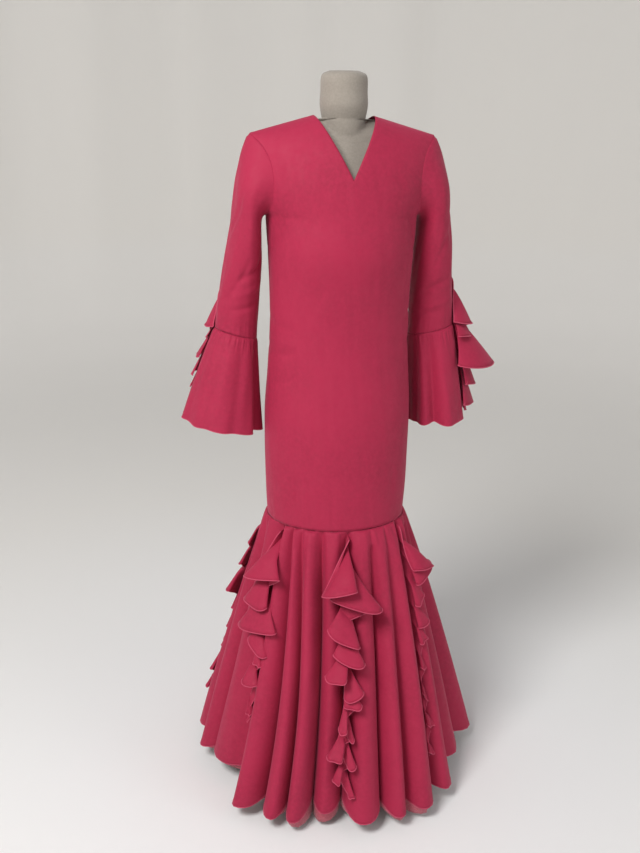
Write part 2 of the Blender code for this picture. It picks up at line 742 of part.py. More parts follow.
def add_form(collection):
    rings = [form_ring(z, ease) for z, ease in FORM_EASE]
    for neck in NECK:
        ring = []
        for i in range(FORM_POINTS):
            angle = math.tau * i / FORM_POINTS
            x, y = neck.half_width * math.sin(angle), -neck.half_depth * math.cos(angle)
            ring.append(Vector((x, y + neck.y, neck.z)))
        rings.append(ring)
    add_loft(collection, "form_torso", rings, "form_cover")

    pole_top, pole_bottom = FORM_EASE[0][0] - SEAM_GAP, BASE_HEIGHT + SEAM_GAP
    middle = (0, 0, (pole_top + pole_bottom) / 2)
    bpy.ops.mesh.primitive_cylinder_add(
        vertices=32, radius=POLE_RADIUS, depth=pole_top - pole_bottom, location=middle
    )
    finish_turned(collection, bpy.context.object, "form_pole")
    bpy.ops.mesh.primitive_cylinder_add(
        vertices=64, radius=BASE_RADIUS, depth=BASE_HEIGHT, location=(0, 0, BASE_HEIGHT / 2)
    )
    base = finish_turned(collection, bpy.context.object, "form_base")
    edge = base.modifiers.new("rounded_edge", "BEVEL")
    edge.width = BASE_EDGE
    edge.segments = 2


def finish_turned(collection, made, name):
    made.name = made.data.name = name
    made.data.materials.append(material("painted_steel"))
    made.data.shade_smooth()
    made.data.set_sharp_from_angle(angle=math.radians(35))
    move_to(collection, made)
    return made


def main():
    parts = fresh_collection("flamenco_dress_on_form")
    add_bodice(parts)
    for side in ("right", "left"):
        add_sleeve(parts, side)
    add_gores(parts)
    add_skirt_cascades(parts)
    add_underskirt(parts)
    add_zip(parts)
    add_form(parts)


main()
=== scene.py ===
"""The looks of a flamenco dress on a limbless dress form: cloth, seams, hems, materials, light and camera.

Metres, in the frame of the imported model: front towards -Y, the wearer's left at +X. Angles go round the
axis from the front towards +X, and turns go round a sleeve from its outermost line by the front, both in
degrees. Sheets of cloth are grids of points, worked out from the same sections and folds as the model's
solids, at a finer step and with the softer shapes that cloth takes.
"""

import math
from collections import namedtuple

import bmesh
import bpy
import numpy as np
from mathutils import Matrix, Vector


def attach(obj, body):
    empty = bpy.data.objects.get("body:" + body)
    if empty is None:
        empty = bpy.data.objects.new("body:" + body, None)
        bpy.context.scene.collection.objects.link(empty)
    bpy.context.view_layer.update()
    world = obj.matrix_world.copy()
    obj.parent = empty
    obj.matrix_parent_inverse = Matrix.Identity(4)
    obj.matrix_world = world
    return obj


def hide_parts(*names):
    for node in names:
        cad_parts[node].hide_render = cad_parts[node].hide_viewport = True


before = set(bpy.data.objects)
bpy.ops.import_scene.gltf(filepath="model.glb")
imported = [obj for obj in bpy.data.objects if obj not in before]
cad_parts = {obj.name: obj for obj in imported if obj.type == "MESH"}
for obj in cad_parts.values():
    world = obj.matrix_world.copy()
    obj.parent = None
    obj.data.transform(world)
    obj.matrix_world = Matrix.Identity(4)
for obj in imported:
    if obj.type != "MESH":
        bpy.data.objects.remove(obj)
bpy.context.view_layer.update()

ROOT = "dress_and_form"
SIDES = ("right", "left")


def table(kind, plain, rows):
    """Rows of millimetres as named values in metres. Columns named in plain, angles and shares, stay."""
    scales = [1 if field in plain.split() else 1000 for field in kind._fields]
    return tuple(kind(*(value / scale for value, scale in zip(row, scales))) for row in rows)


# -------- Sizes shared with the model's solids
WALL = 0.0016
CLOTH, NET = 0.0011, 0.0006  # thicknesses shown
SEAM_GAP = 0.0003
SEWN_GAP = 0.0001  # between two pieces at a seam

Section = namedtuple("Section", "z half_width front back")
BODY = table(Section, "", (
    (616, 151, 130, 134), (700, 155, 124, 135), (790, 157, 120, 137), (860, 157, 115, 130),
    (945, 151.5, 107, 113), (1030, 147, 105, 103), (1115, 147.5, 115, 102), (1195, 151, 128, 106),
    (1270, 156, 119, 110),
))
CHEST_Z = BODY[-1].z

# The yoke's rows, counted from the underarm: the inner end and the end on the armhole
Yoke = namedtuple("Yoke", "row neck_x neck_z arm_x arm_z")
YOKE_FRONT = table(Yoke, "row", (
    (0, 0, 1270, 156, 1270), (1, 0, 1305, 150, 1300), (2, 0, 1340, 148.5, 1335), (3, 20, 1380, 153, 1370),
    (4, 41, 1420, 166, 1400), (5, 62, 1460, 188, 1425),
))
YOKE_BACK = table(Yoke, "row", (
    (0, 0, 1270, 156, 1270), (1, 0, 1318, 152, 1300), (2, 0, 1366, 152, 1335), (3, 0, 1412, 157, 1370),
    (4, 43, 1434, 169, 1400), (5, 62, 1460, 188, 1425),
))
V_ROW, BACK_NECK_ROW = 2, 3  # the rows at which the neck opens in front and behind
NECK_X, NECK_Z = YOKE_FRONT[-1].neck_x, YOKE_FRONT[-1].neck_z
TIP_X, TIP_Z = YOKE_FRONT[-1].arm_x, YOKE_FRONT[-1].arm_z
SHOULDER_SLOPE = (NECK_Z - TIP_Z) / (TIP_X - NECK_X)
YOKE_HALF_WIDTH = 0.204

Ring = namedtuple("Ring", "out_x out_z in_x in_z half_depth y")
SLEEVES = {
    "right": table(Ring, "", (
        (212.5, 1345, 164.5, 1258, 68, 8), (224, 1270, 164, 1213, 63, 12),
        (237.5, 1195, 163.5, 1160, 56, 18), (251.5, 1108, 168, 1090, 48, 26),
        (260.5, 1031, 172, 1007, 43, 32),
    )),
    "left": table(Ring, "", (
        (219, 1345, 164.5, 1258, 68, 10), (233, 1270, 164, 1213, 64, 16), (245, 1195, 163, 1160, 58, 24),
        (255, 1108, 163, 1090, 50, 34), (261.5, 1029, 164, 1007, 45, 40),
    )),
}
Bell = namedtuple("Bell", "hem_out_x hem_out_z hem_in_x hem_in_z half_depth y")
BELLS = dict(zip(SIDES, table(Bell, "", ((334, 836, 163, 804, 88, 38), (302, 814, 168, 804, 92, 60)))))
# The hollows between a bell's flutes: their turn, half their width in degrees, and their depth at the hem
Hollow = namedtuple("Hollow", "turn width depth")
BELL_HOLLOWS = {
    "right": table(Hollow, "turn width", (
        (24, 15, 6), (63, 11, 4), (104, 13, 7), (150, 11, 18), (196, 14, 12), (238, 13, 14), (281, 14, 11),
        (352, 11, 9),
    )),
    "left": table(Hollow, "turn width", (
        (18, 12, 6), (56, 14, 5), (108, 15, 27), (146, 12, 13), (166, 12, 10), (208, 14, 13), (252, 13, 11),
        (298, 14, 14), (338, 11, 9),
    )),
}
BELL_OUT = 0.003  # how far the flutes stand out between the hollows at the hem

SEAM_Z = BODY[0].z
HEM_CREST_Z = 0.034
HEM_RISE = 0.28  # how much higher the hem is for each metre that it lies further in
HEM_RADIUS = 0.312
# A row for each fold: the angles of its crest at the seam and the hem, and how far it stands out at the
# hem; the same for the valley after it; how far down the skirt the valley starts; how much crests swell
Fold = namedtuple("Fold", "top crest out dip_top dip valley start swell")
FOLDS = table(Fold, "top crest dip_top dip start swell", (
    (-54, -48, 34, -46, -40, 18, 0, 0.15), (-43, -33, 30, -38, -29.5, 14, 0, 0.13),
    (-30, -25.5, 28, -21, -19.5, 34, 0, 0.15), (-12, -13.5, -4, 1, -6.5, 35, 0, 0.14),
    (12, 1.5, 26, 21, 10.5, 20, 0.06, 0.135), (28, 15.5, 30, 36, 21, 8, 0.1, 0.08),
    (44, 27, 34, 52, 35.5, 36, 0, 0.155), (58, 41, 20, 65, 53, 34, 0.04, 0.135),
    (74, 66, -6, 83, 77, 30, 0, 0.145), (92, 88, 34, 99, 97, 27, 0.08, 0.13),
    (106, 105, 18, 114, 112, 32, 0, 0.15), (122, 120, 20, 130, 128, 27, 0.06, 0.13),
    (138, 136, 22, 146, 144, 32, 0, 0.15), (154, 153, 20, 161, 161, 27, 0.04, 0.135),
    (169, 169, 18, 177, 177, 32, 0, 0.145), (186, 186, 20, 194, 195, 30, 0.08, 0.135),
    (202, 204, 22, 210, 213, 30, 0, 0.15), (219, 221, 20, 226, 229, 27, 0.05, 0.13),
    (233, 237, 8, 240, 245, 32, 0, 0.15), (249, 253, 8, 257, 261, 27, 0.06, 0.135),
    (266, 270.5, 2, 272, 276.5, 22, 0.02, 0.13), (283, 284, -20, 303, 303, 41, 0, 0.03),
))
# Each gore and the fold in whose valley the seam at its start lies
GORES = {
    "front_left": 3, "side_left": 6, "back_left": 10, "back_right": 14, "side_right": 18, "front_right": 21,
}

UNDERSKIRT_INSET, UNDERSKIRT_HEM_INSET = 0.0030, 0.012
UNDERSKIRT_TOP_Z, UNDERSKIRT_HEM_Z = 0.612, 0.036
# Where the underskirt's hem hangs lower: the angle, half the width and the depth of each dip
UNDERSKIRT_DIPS = table(Hollow, "turn width", ((-18, 15, 24), (22, 12, 22), (100, 18, 14), (205, 22, 20)))

# Cascades: a row for each tip of the hem, downwards: where its cloth leaves the seam, how far below that
# it hangs, and how far it reaches sideways and outwards. The cloth passes in front from each second tip
# to the next and lies behind between those.
Leaf = namedtuple("Leaf", "z drop reach lift")
FRONT_LEAVES = table(Leaf, "", (
    (606, 4, 0, 1), (594, 91, -48, 30), (588, 69, 6, 46), (580, 84, -34, 22), (566, 91, 49, 36),
    (508, 72, -40, 26), (480, 78, 16, 30), (456, 71, -30, 24), (438, 71, 26, 30), (408, 63, -45, 30),
    (396, 53, -6, 36), (372, 78, -8, 20), (360, 52, 27, 26), (342, 64, -8, 18), (330, 49, 25, 24),
    (312, 74, -18, 26), (300, 64, -2, 30), (282, 70, 2, 16), (272, 62, 14, 18), (244, 68, -39, 20),
    (232, 58, -8, 26), (222, 66, 2, 18), (212, 56, 20, 22), (190, 66, -26, 14), (182, 58, -10, 20),
    (160, 70, 8, 12), (152, 64, 21, 16), (118, 20, 6, 4),
))
RIGHT_LEAVES = table(Leaf, "", (
    (606, 4, 0, 1), (600, 99, -38, 34), (592, 73, 34, 30), (560, 106, -38, 24), (548, 94, 18, 26),
    (512, 115, -42, 24), (494, 87, 42, 22), (440, 66, -16, 18), (424, 72, 32, 20), (392, 60, 6, 16),
    (380, 50, 26, 18), (356, 67, -8, 22), (340, 52, 26, 20), (290, 70, 12, 16), (276, 56, 22, 12),
    (232, 24, 12, 2), (222, 20, 14, 2), (200, 12, 6, 1),
))
LEFT_LEAVES = table(Leaf, "", (
    (606, 4, 0, 1), (598, 83, -4, 24), (592, 89, 50, 34), (572, 88, 0, 22), (562, 49, 56, 28),
    (530, 90, -4, 16), (516, 61, 26, 16), (476, 86, 0, 14), (462, 63, 32, 16), (430, 74, 0, 12),
    (418, 56, 24, 13), (372, 66, -4, 10), (358, 56, 10, 10), (308, 58, -6, 8), (292, 62, 8, 7),
    (236, 52, -6, 12), (222, 50, 20, 10), (170, 46, -8, 10), (158, 42, 12, 8), (130, 20, 0, 4),
))
SIDE_LEAVES = table(Leaf, "", (
    (606, 4, 0, 1), (592, 76, -36, 10), (582, 62, 36, 10), (552, 90, -40, 12), (540, 73, 36, 14),
    (498, 94, -42, 16), (484, 87, 40, 24), (430, 90, -36, 14), (414, 84, 4, 8), (368, 78, -30, 12),
    (350, 72, 2, 8), (308, 70, -30, 12), (290, 66, 4, 8), (250, 64, -26, 12), (232, 60, 26, 14),
    (196, 60, -24, 12), (180, 58, 28, 14), (150, 20, 0, 4),
))
# The gore at whose start it is sewn, the side that the leaves' sideways reach is counted to, and how far
# out they fall near the skirt's top and at its hem, from about -1 in the valley to 1 over the crests
Cascade = namedtuple("Cascade", "name gore side top_level hem_level leaves seed")
SKIRT_CASCADES = (
    Cascade("front", "front_left", 1, 1.0, -0.1, FRONT_LEAVES, 0),
    Cascade("front_left", "side_left", 1, 0.2, -0.3, LEFT_LEAVES, 0),
    Cascade("back_left", "back_left", 1, 0.4, -0.1, LEFT_LEAVES, 3),
    Cascade("back", "back_right", -1, 0.9, 0.0, FRONT_LEAVES, 5),
    Cascade("back_right", "side_right", 1, 0.3, -0.1, SIDE_LEAVES, 0),
    Cascade("front_right", "front_right", 1, 0.3, -0.5, RIGHT_LEAVES, 0),
)
SLEEVE_LEAVES = {
    "right": table(Leaf, "", (
        (1112, 6, 0, 1), (1098, 66, 30, 3), (1092, 66, -6, 20), (1062, 56, 20, 3), (1058, 56, -22, 10),
        (1030, 68, 20, 3), (1024, 60, -10, 15), (990, 70, 20, 3), (984, 62, -12, 12), (944, 52, 10, 2),
        (934, 44, -16, 3), (896, 20, 0, 4),
    )),
    "left": table(Leaf, "", (
        (1132, 6, 0, 1), (1112, 78, 30, 6), (1106, 92, -14, 36), (1084, 80, 34, 10), (1074, 76, -30, 34),
        (1060, 118, 52, 8), (1046, 104, -12, 61), (1000, 108, 30, 10), (986, 100, -36, 34),
        (960, 112, 44, 3), (940, 102, -16, 22), (900, 78, 10, 3), (884, 66, -30, 12), (860, 20, 0, 4),
    )),
}
LEAF_LEVEL = 0.024  # how far out a skirt's cascade falls at a level of 1
SLEEVE_SEAM_TURN = {"right": -36, "left": 0}
LEAF_CLEARANCE = 0.0012

# How far the form stays inside the dress at each height
Ease = namedtuple("Ease", "z ease")
FORM_EASE = table(Ease, "", (
    (632, 4), (700, 3), (790, 2.4), (860, 3), (945, 10), (1030, 16), (1115, 10), (1195, 2.4), (1270, 2.4),
    (1310, 5), (1350, 6), (1390, 6), (1410, 6), (1424, 0.7), (1436, 0.7), (1448, 0.7), (1452, 1.2),
))
FORM_ROOF = 1.35  # how steeply its shoulders fall away from the ridge, as a share of its depth
FORM_ARM_EASE = 0.006
NeckRing = namedtuple("NeckRing", "z half_width half_depth y")
NECK = table(NeckRing, "", (
    (1455, 44, 41, 0), (1480, 48, 50, 1), (1505, 47, 49, 2), (1530, 46.5, 48, 2), (1540, 42, 43, 2),
    (1545, 30, 31, 2),
))

# -------- Camera
PHOTO_WIDTH, PHOTO_HEIGHT = 640, 853
CAMERA_AZIMUTH, CAMERA_DISTANCE, CAMERA_HEIGHT = -12.0, 2.10, 1.475
CAMERA_PITCH, CAMERA_ROLL = 17.6, 0.95  # degrees down, and clockwise
AXIS_AT_X = 338.5  # where the dress's axis crosses the middle of the picture, in pixels
FOCAL_PIXELS = 1005.0
SENSOR = 36.0


def add_camera():
    data = bpy.data.cameras.new("camera")
    data.sensor_width = SENSOR
    data.lens = FOCAL_PIXELS / PHOTO_HEIGHT * SENSOR
    camera = new_object("camera", data)
    azimuth, pitch = math.radians(CAMERA_AZIMUTH), math.radians(CAMERA_PITCH)
    camera.location = (
        math.sin(azimuth) * CAMERA_DISTANCE,
        -math.cos(azimuth) * CAMERA_DISTANCE,
        CAMERA_HEIGHT,
    )
    yaw = math.atan((AXIS_AT_X - PHOTO_WIDTH / 2) * math.cos(pitch) / FOCAL_PIXELS)
    turn = Matrix.Rotation(azimuth + yaw, 4, "Z") @ Matrix.Rotation(math.pi / 2 - pitch, 4, "X")
    camera.rotation_mode = "QUATERNION"
    camera.rotation_quaternion = (turn @ Matrix.Rotation(math.radians(CAMERA_ROLL), 4, "Z")).to_quaternion()
    bpy.context.scene.camera = camera


# -------- Tables and grids


def eased_rows(keys, rows, at):
    """Rows of any shape, smoothly between the given ones, at the values of the key."""
    keys, rows, at = np.asarray(keys, float), np.asarray(rows, float), np.asarray(at, float)
    slopes = np.empty_like(rows)
    span = (keys[2:] - keys[:-2]).reshape(-1, *[1] * (rows.ndim - 1))
    slopes[1:-1] = (rows[2:] - rows[:-2]) / span
    slopes[0] = (rows[1] - rows[0]) / (keys[1] - keys[0])
    slopes[-1] = (rows[-1] - rows[-2]) / (keys[-1] - keys[-2])
    at = np.clip(at, keys[0], keys[-1])
    low = np.clip(np.searchsorted(keys, at, side="right") - 1, 0, len(keys) - 2)
    shape = at.shape + (1,) * (rows.ndim - 1)
    step = (keys[low + 1] - keys[low]).reshape(shape)
    t = (at - keys[low]).reshape(shape) / step
    value = rows[low] * (1 + 2 * t) * (1 - t) ** 2 + rows[low + 1] * t * t * (3 - 2 * t)
    return value + slopes[low] * step * t * (1 - t) ** 2 - slopes[low + 1] * step * t * t * (1 - t)


def eased(rows, column, at):
    """A column's value between the rows, which are in order of their first column."""
    return eased_rows([row[0] for row in rows], [getattr(row, column) for row in rows], at)


def mix(low, high, share):
    return low + (high - low) * share


def hump(x):
    return np.exp(-(x**2))


def apart(angle, other):
    """Degrees from one angle to another, the shorter way round."""
    return (np.asarray(angle) - other + 180) % 360 - 180


def smoothstep(low, high, at):
    t = np.clip((np.asarray(at, float) - low) / (high - low), 0, 1)
    return t * t * (3 - 2 * t)


def points(x, y, z):
    return np.stack(np.broadcast_arrays(x, y, z), axis=-1).astype(float)


def normals(grid, closed=False):
    """Unit normals of a grid whose rows go up and whose columns go round towards +X."""
    if closed:
        across = np.roll(grid, -1, axis=1) - np.roll(grid, 1, axis=1)
    else:
        across = np.gradient(grid, axis=1)
    n = np.cross(across, np.gradient(grid, axis=0))
    return n / np.maximum(np.linalg.norm(n, axis=-1, keepdims=True), 1e-9)


def along(grid, axis):
    """Distance along the cloth from the first row or column."""
    steps = np.linalg.norm(np.diff(grid, axis=axis), axis=-1)
    total = np.cumsum(steps, axis=axis)
    pad = [(0, 0), (0, 0)]
    pad[axis] = (1, 0)
    return np.pad(total, pad)


def mirrored(grid):
    return grid[:, ::-1] * np.array([-1.0, 1.0, 1.0])


def ripple(a, b, seed):
    """Smooth, uneven waves of about one unit's length, from -1 to 1."""
    total = 0.0
    for i, (fa, fb) in enumerate(((1.0, 0.35), (0.62, -0.8), (1.57, 0.5), (0.83, 1.13))):
        phase = math.tau * math.sin(12.9898 * (seed + i) + 4.1)
        total = total + np.sin(math.tau * (fa * a + fb * b) + phase)
    return total / 4


# Waves in a cloth: their height, the width of one, how many there are in a unit of length, the seed, and
# the share of their height by which all of the cloth is moved
Waves = namedtuple("Waves", "height width along seed lean", defaults=[0])


def waved(waves, across, along, more=0):
    r = ripple(across / waves.width, along * waves.along, waves.seed + more)
    return waves.height * (r + waves.lean)


# -------- Meshes


def cloth_mesh(name, grids, closed=False, merge=False):
    """A mesh of quads through grids of points. Its UV map holds the cloth's own lengths, in metres."""
    vertices, quads, uvs, start = [], [], [], 0
    for grid in grids:
        rows, columns = grid.shape[:2]
        wide = np.concatenate([grid, grid[:, :1]], axis=1) if closed else grid
        u, v = along(wide, 1), along(wide, 0)
        index = np.arange(rows * columns).reshape(rows, columns) + start
        if closed:
            index = np.concatenate([index, index[:, :1]], axis=1)
        near, far = slice(None, -1), slice(1, None)
        corners = ((near, near), (near, far), (far, far), (far, near))
        quads.append(np.stack([index[c] for c in corners], axis=-1).reshape(-1, 4))
        uvs.append(np.stack([np.stack([u[c], v[c]], -1) for c in corners], axis=2).reshape(-1, 2))
        vertices.append(grid.reshape(-1, 3))
        start += rows * columns
    vertices, quads, uvs = (np.concatenate(part) for part in (vertices, quads, uvs))
    mesh = bpy.data.meshes.new(name)
    mesh.from_pydata(vertices.tolist(), [], quads.tolist())
    mesh.uv_layers.new(name="cloth").data.foreach_set("uv", uvs.astype(np.float32).ravel())
    if merge:
        bm = bmesh.new()
        bm.from_mesh(mesh)
        bmesh.ops.remove_doubles(bm, verts=bm.verts, dist=1e-5)
        bm.to_mesh(mesh)
        bm.free()
    mesh.shade_smooth()
    return mesh


def new_object(name, data):
    made = bpy.data.objects.new(name, data)
    bpy.context.scene.collection.objects.link(made)
    return made


def add_object(name, data, material, replaced=()):
    made = new_object(name, data)
    data.materials.append(material)
    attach(made, ROOT)
    if replaced:
        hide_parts(*replaced)
    return made


def add_cloth(name, grids, material, replaced, closed=False, offset=1, wall=CLOTH, merge=False):
    """A thin wall of cloth on grids of points, in place of CAD nodes."""
    mesh = cloth_mesh(name, grids, closed, merge)
    made = add_object(name, mesh, material, replaced)
    thick = made.modifiers.new("wall", "SOLIDIFY")
    thick.thickness = wall
    thick.offset = offset
    return made


def add_roll(name, paths, radius, material, closed=False):
    """A narrow rolled hem: round tubes along lines of points."""
    curve = bpy.data.curves.new(name, "CURVE")
    curve.dimensions = "3D"
    curve.bevel_depth = radius
    curve.bevel_resolution = 2
    curve.use_fill_caps = not closed
    for path in paths:
        spline = curve.splines.new("POLY")
        spline.points.add(len(path) - 1)
        flat = np.concatenate([path, np.ones((len(path), 1))], axis=1)
        spline.points.foreach_set("co", flat.astype(np.float32).ravel())
        spline.use_cyclic_u = closed
    return add_object(name, curve, material)


# -------- Creases
# A soft trough or ridge: the middle of it, the slope of its line, its half length and half width and how
# far it stands out. Turns are angles round the piece, and slopes are in degrees up from the level.
Crease = namedtuple("Crease", "turn z slope length width out")
CREASE_BOW = 0.12  # how much the line bows up at its ends


def creased(turn, z, radius, creases):
    """How far the creases move each point out."""
    out = np.zeros(np.broadcast(turn, z).shape)
    for crease in creases:
        s, h = np.radians(apart(turn, crease.turn)) * radius, np.asarray(z) - crease.z
        slope = math.radians(crease.slope)
        line = s * math.cos(slope) + h * math.sin(slope)
        bow = CREASE_BOW * line * line / crease.length
        across = h * math.cos(slope) - s * math.sin(slope) - bow
        out = out + crease.out * np.exp(-((across / crease.width) ** 2) - (line / crease.length) ** 4)
    return out


BODY_RADIUS = 0.14
BODY_CREASES = table(Crease, "turn slope", (
    (-49, 690, 84, 40, 6, -1.6), (-41, 700, 88, 45, 8, 1), (22, 668, 96, 30, 7, -0.9),
    (48, 700, 78, 45, 9, -1.2), (-14, 655, 92, 25, 6, -0.8), (-66, 930, 16, 40, 8, -1.5),
    (-72, 985, 8, 45, 8.5, -2), (-68, 1010, -6, 45, 8, 1.4), (-76, 1045, -12, 45, 8, -1.8),
    (64, 965, -14, 45, 8, -1.8), (72, 1005, -5, 50, 8.5, -2), (66, 1030, 9, 45, 8, 1.3),
    (74, 1065, 14, 40, 8, -1.5), (-70, 1225, 52, 40, 7, -2.2), (-64, 1205, 44, 45, 8, 1.4),
    (70, 1222, -50, 42, 7, -2.2), (62, 1200, -40, 40, 8, 1.2), (-30, 1115, 64, 45, 10, -1),
    (27, 1110, -62, 50, 10, -1), (108, 985, 6, 45, 8.5, -1.8), (116, 1035, 10, 50, 8.5, -2.2),
    (150, 1010, 4, 55, 9, -1.8), (144, 1055, 12, 50, 8.5, 1.2), (165, 965, -5, 45, 8.5, -1.4),
    (-112, 1000, -8, 50, 8.5, -2), (-122, 1050, -14, 45, 8, -1.8), (-148, 1025, -6, 60, 9, -2),
    (-164, 975, 4, 45, 8.5, -1.4), (106, 1225, 56, 40, 7.5, -1.8), (-106, 1228, -54, 40, 7.5, -1.8),
    (138, 690, 84, 45, 8, -1.2), (-128, 700, 97, 45, 8, -1.2), (172, 680, 92, 40, 7, -0.9),
))
SLEEVE_RADIUS = 0.045
SLEEVE_CREASES = {
    "right": table(Crease, "turn slope", (
        (-6, 1300, 80, 50, 8, 1.8), (38, 1270, 70, 60, 7, -2.2), (52, 1180, 82, 70, 8, 2),
        (12, 1190, 97, 70, 8, -1.8), (74, 1130, 60, 50, 7, -2.4), (110, 1150, 30, 35, 7, -3),
        (120, 1115, 22, 35, 6.5, 2.2), (104, 1078, 14, 35, 6.5, -2.8), (60, 1052, 84, 25, 6, -1.8),
        (20, 1062, 96, 30, 6, 1.6), (150, 1190, 74, 50, 8, -2), (230, 1200, 80, 60, 8, -2),
        (262, 1120, 66, 50, 8, 1.8), (300, 1240, 98, 60, 8, -2), (335, 1110, 84, 50, 7.5, -1.6),
    )),
    "left": table(Crease, "turn slope", (
        (4, 1290, 98, 50, 8, 1.8), (34, 1250, 104, 60, 7.5, -2.4), (50, 1160, 96, 70, 8, 1.8),
        (18, 1140, 84, 60, 8, -2), (80, 1200, 118, 50, 7.5, -2.2), (96, 1120, 150, 35, 7, -2.8),
        (86, 1080, 162, 35, 6.5, 2), (112, 1060, 168, 30, 6, -2.4), (56, 1050, 92, 28, 6, -1.6),
        (160, 1180, 100, 50, 8, -1.8), (225, 1180, 84, 60, 8, -2), (280, 1150, 102, 60, 8, 1.8),
        (318, 1080, 92, 50, 7, -1.8),
    )),
}


# -------- Bodice
BODY_ROWS, YOKE_ROWS, PANEL_COLUMNS = 96, 46, 64
EDGE_ROLL, HEM_ROLL = 0.0011, 0.0012  # radii of the neck's turned edge and of the rolled hems
CHEST_FADE = 0.03  # height above the chest over which the depth stops changing as it does below
ROW_APART = 0.02  # rows nearer than this to a corner's row give way to it
CALM_FROM, CALM_TO = 1.33, 1.42  # heights over which the creases die out
BODY_WAVES, BODY_GATHERS = Waves(0.0005, 17, 7, 5), Waves(0.0006, 5.5, 4, 11, -0.6)
BODY_GATHER_HEIGHT = 0.022


def body_xyz(degrees, z, ease=0.0):
    angle = np.radians(degrees)
    depth = np.where(np.cos(angle) > 0, eased(BODY, "front", z), eased(BODY, "back", z)) - ease
    return points((eased(BODY, "half_width", z) - ease) * np.sin(angle), -depth * np.cos(angle), z)


# How the depth changes with height where the yoke starts, so that no line shows there
CHEST_SLOPE = {
    side: (getattr(BODY[-1], side) - getattr(BODY[-2], side)) / (BODY[-1].z - BODY[-2].z)
    for side in ("front", "back")
}


def shoulder_z(x):
    return NECK_Z - SHOULDER_SLOPE * (np.abs(x) - NECK_X)


def yoke_half_width(z, ease=0.0):
    rise = np.clip((z - CHEST_Z) / (TIP_Z - CHEST_Z), 0, 1)
    return mix(BODY[-1].half_width, YOKE_HALF_WIDTH, rise**0.7) - ease


def yoke_xyz(x, z, back, ease=0.0):
    side = "back" if back else "front"
    above = np.maximum(0, z - CHEST_Z)
    depth = getattr(BODY[-1], side) - ease + CHEST_SLOPE[side] * above * np.exp(-above / CHEST_FADE)
    across = np.sqrt(np.maximum(0, 1 - (x / yoke_half_width(z, ease)) ** 2))
    rise = (z + ease - CHEST_Z) / (shoulder_z(x) - CHEST_Z)
    y = depth * across * np.sqrt(np.clip(1 - rise * rise, 0, 1))
    return points(x, y if back else -y, z)


def yoke_rows():
    """Row numbers, closer together near the shoulder seam, with each corner of the neck among them."""
    rows = (len(YOKE_FRONT) - 1) * np.sin(np.linspace(0, math.pi / 2, YOKE_ROWS))
    corners = [row.row for row in YOKE_FRONT[1:-1]]
    kept = [row for row in rows[1:] if min(abs(row - c) for c in corners) > ROW_APART]
    return np.array(sorted(kept + corners))


def half_panel(yoke, back):
    """The half at +X of the front or the back, from the skirt seam to the shoulder seam."""
    across = np.linspace(0, 1, PANEL_COLUMNS + 1)
    z = np.linspace(SEAM_Z, CHEST_Z, BODY_ROWS)
    lower = body_xyz((90 if back else 0) + 90 * across[None, :], z[:, None])
    rows = yoke_rows()[:, None]
    numbers = [row.row for row in yoke]
    neck_x = np.interp(rows, numbers, [row.neck_x for row in yoke])
    neck_z = np.interp(rows, numbers, [row.neck_z for row in yoke])
    arm_x, arm_z = eased(yoke, "arm_x", rows), eased(yoke, "arm_z", rows)
    share = np.sin(math.pi / 2 * across)[None, :]
    upper = yoke_xyz(mix(neck_x, arm_x, share), mix(neck_z, arm_z, share), back)
    if back:
        upper = upper[:, ::-1]
    grid = np.concatenate([lower, upper])
    if back:
        grid[..., 1] = np.maximum(grid[..., 1], SEAM_GAP / 2)
        grid[:, -1, 0] = np.maximum(grid[:, -1, 0], SEAM_GAP / 2)
    else:
        grid[..., 1] = np.minimum(grid[..., 1], -SEAM_GAP / 2)
    return grid


def shaped(grid):
    """The panel with its creases, and with the gathers that draw it in slightly at the skirt seam."""
    x, y, z = np.moveaxis(grid, -1, 0)
    turn = np.degrees(np.arctan2(x, -y))
    calm = 1 - smoothstep(CALM_FROM, CALM_TO, z)
    out = creased(turn, z, BODY_RADIUS, BODY_CREASES) * calm + waved(BODY_WAVES, turn, z) * calm
    out += waved(BODY_GATHERS, turn, z) * hump((z - SEAM_Z) / BODY_GATHER_HEIGHT)
    n = normals(grid)
    n[np.abs(x) < SEAM_GAP, 0] = 0
    return grid + n * out[..., None]


def add_bodice(crepe):
    front = half_panel(YOKE_FRONT, back=False)
    both = [shaped(front), shaped(mirrored(front))]
    made = [add_cloth("bodice_front_cloth", both, crepe, ["bodice_front"], merge=True)]
    back = half_panel(YOKE_BACK, back=True)
    for side, grid in (("left", back), ("right", mirrored(back))):
        name = f"bodice_back_{side}"
        made.append(add_cloth(f"{name}_cloth", [shaped(grid)], crepe, [name]))
    return made


def neck_edges():
    """Lines along the neck's turned edge: the whole V in front, and each side of the scoop behind."""
    front, back = half_panel(YOKE_FRONT, back=False), half_panel(YOKE_BACK, back=True)
    rows = yoke_rows()
    v = front[BODY_ROWS:][rows >= V_ROW, 0]
    scoop = back[BODY_ROWS:][rows >= BACK_NECK_ROW, -1]
    flip = np.array([-1.0, 1.0, 1.0])
    return [np.concatenate([(v * flip)[::-1], v[1:]]), scoop, scoop * flip]


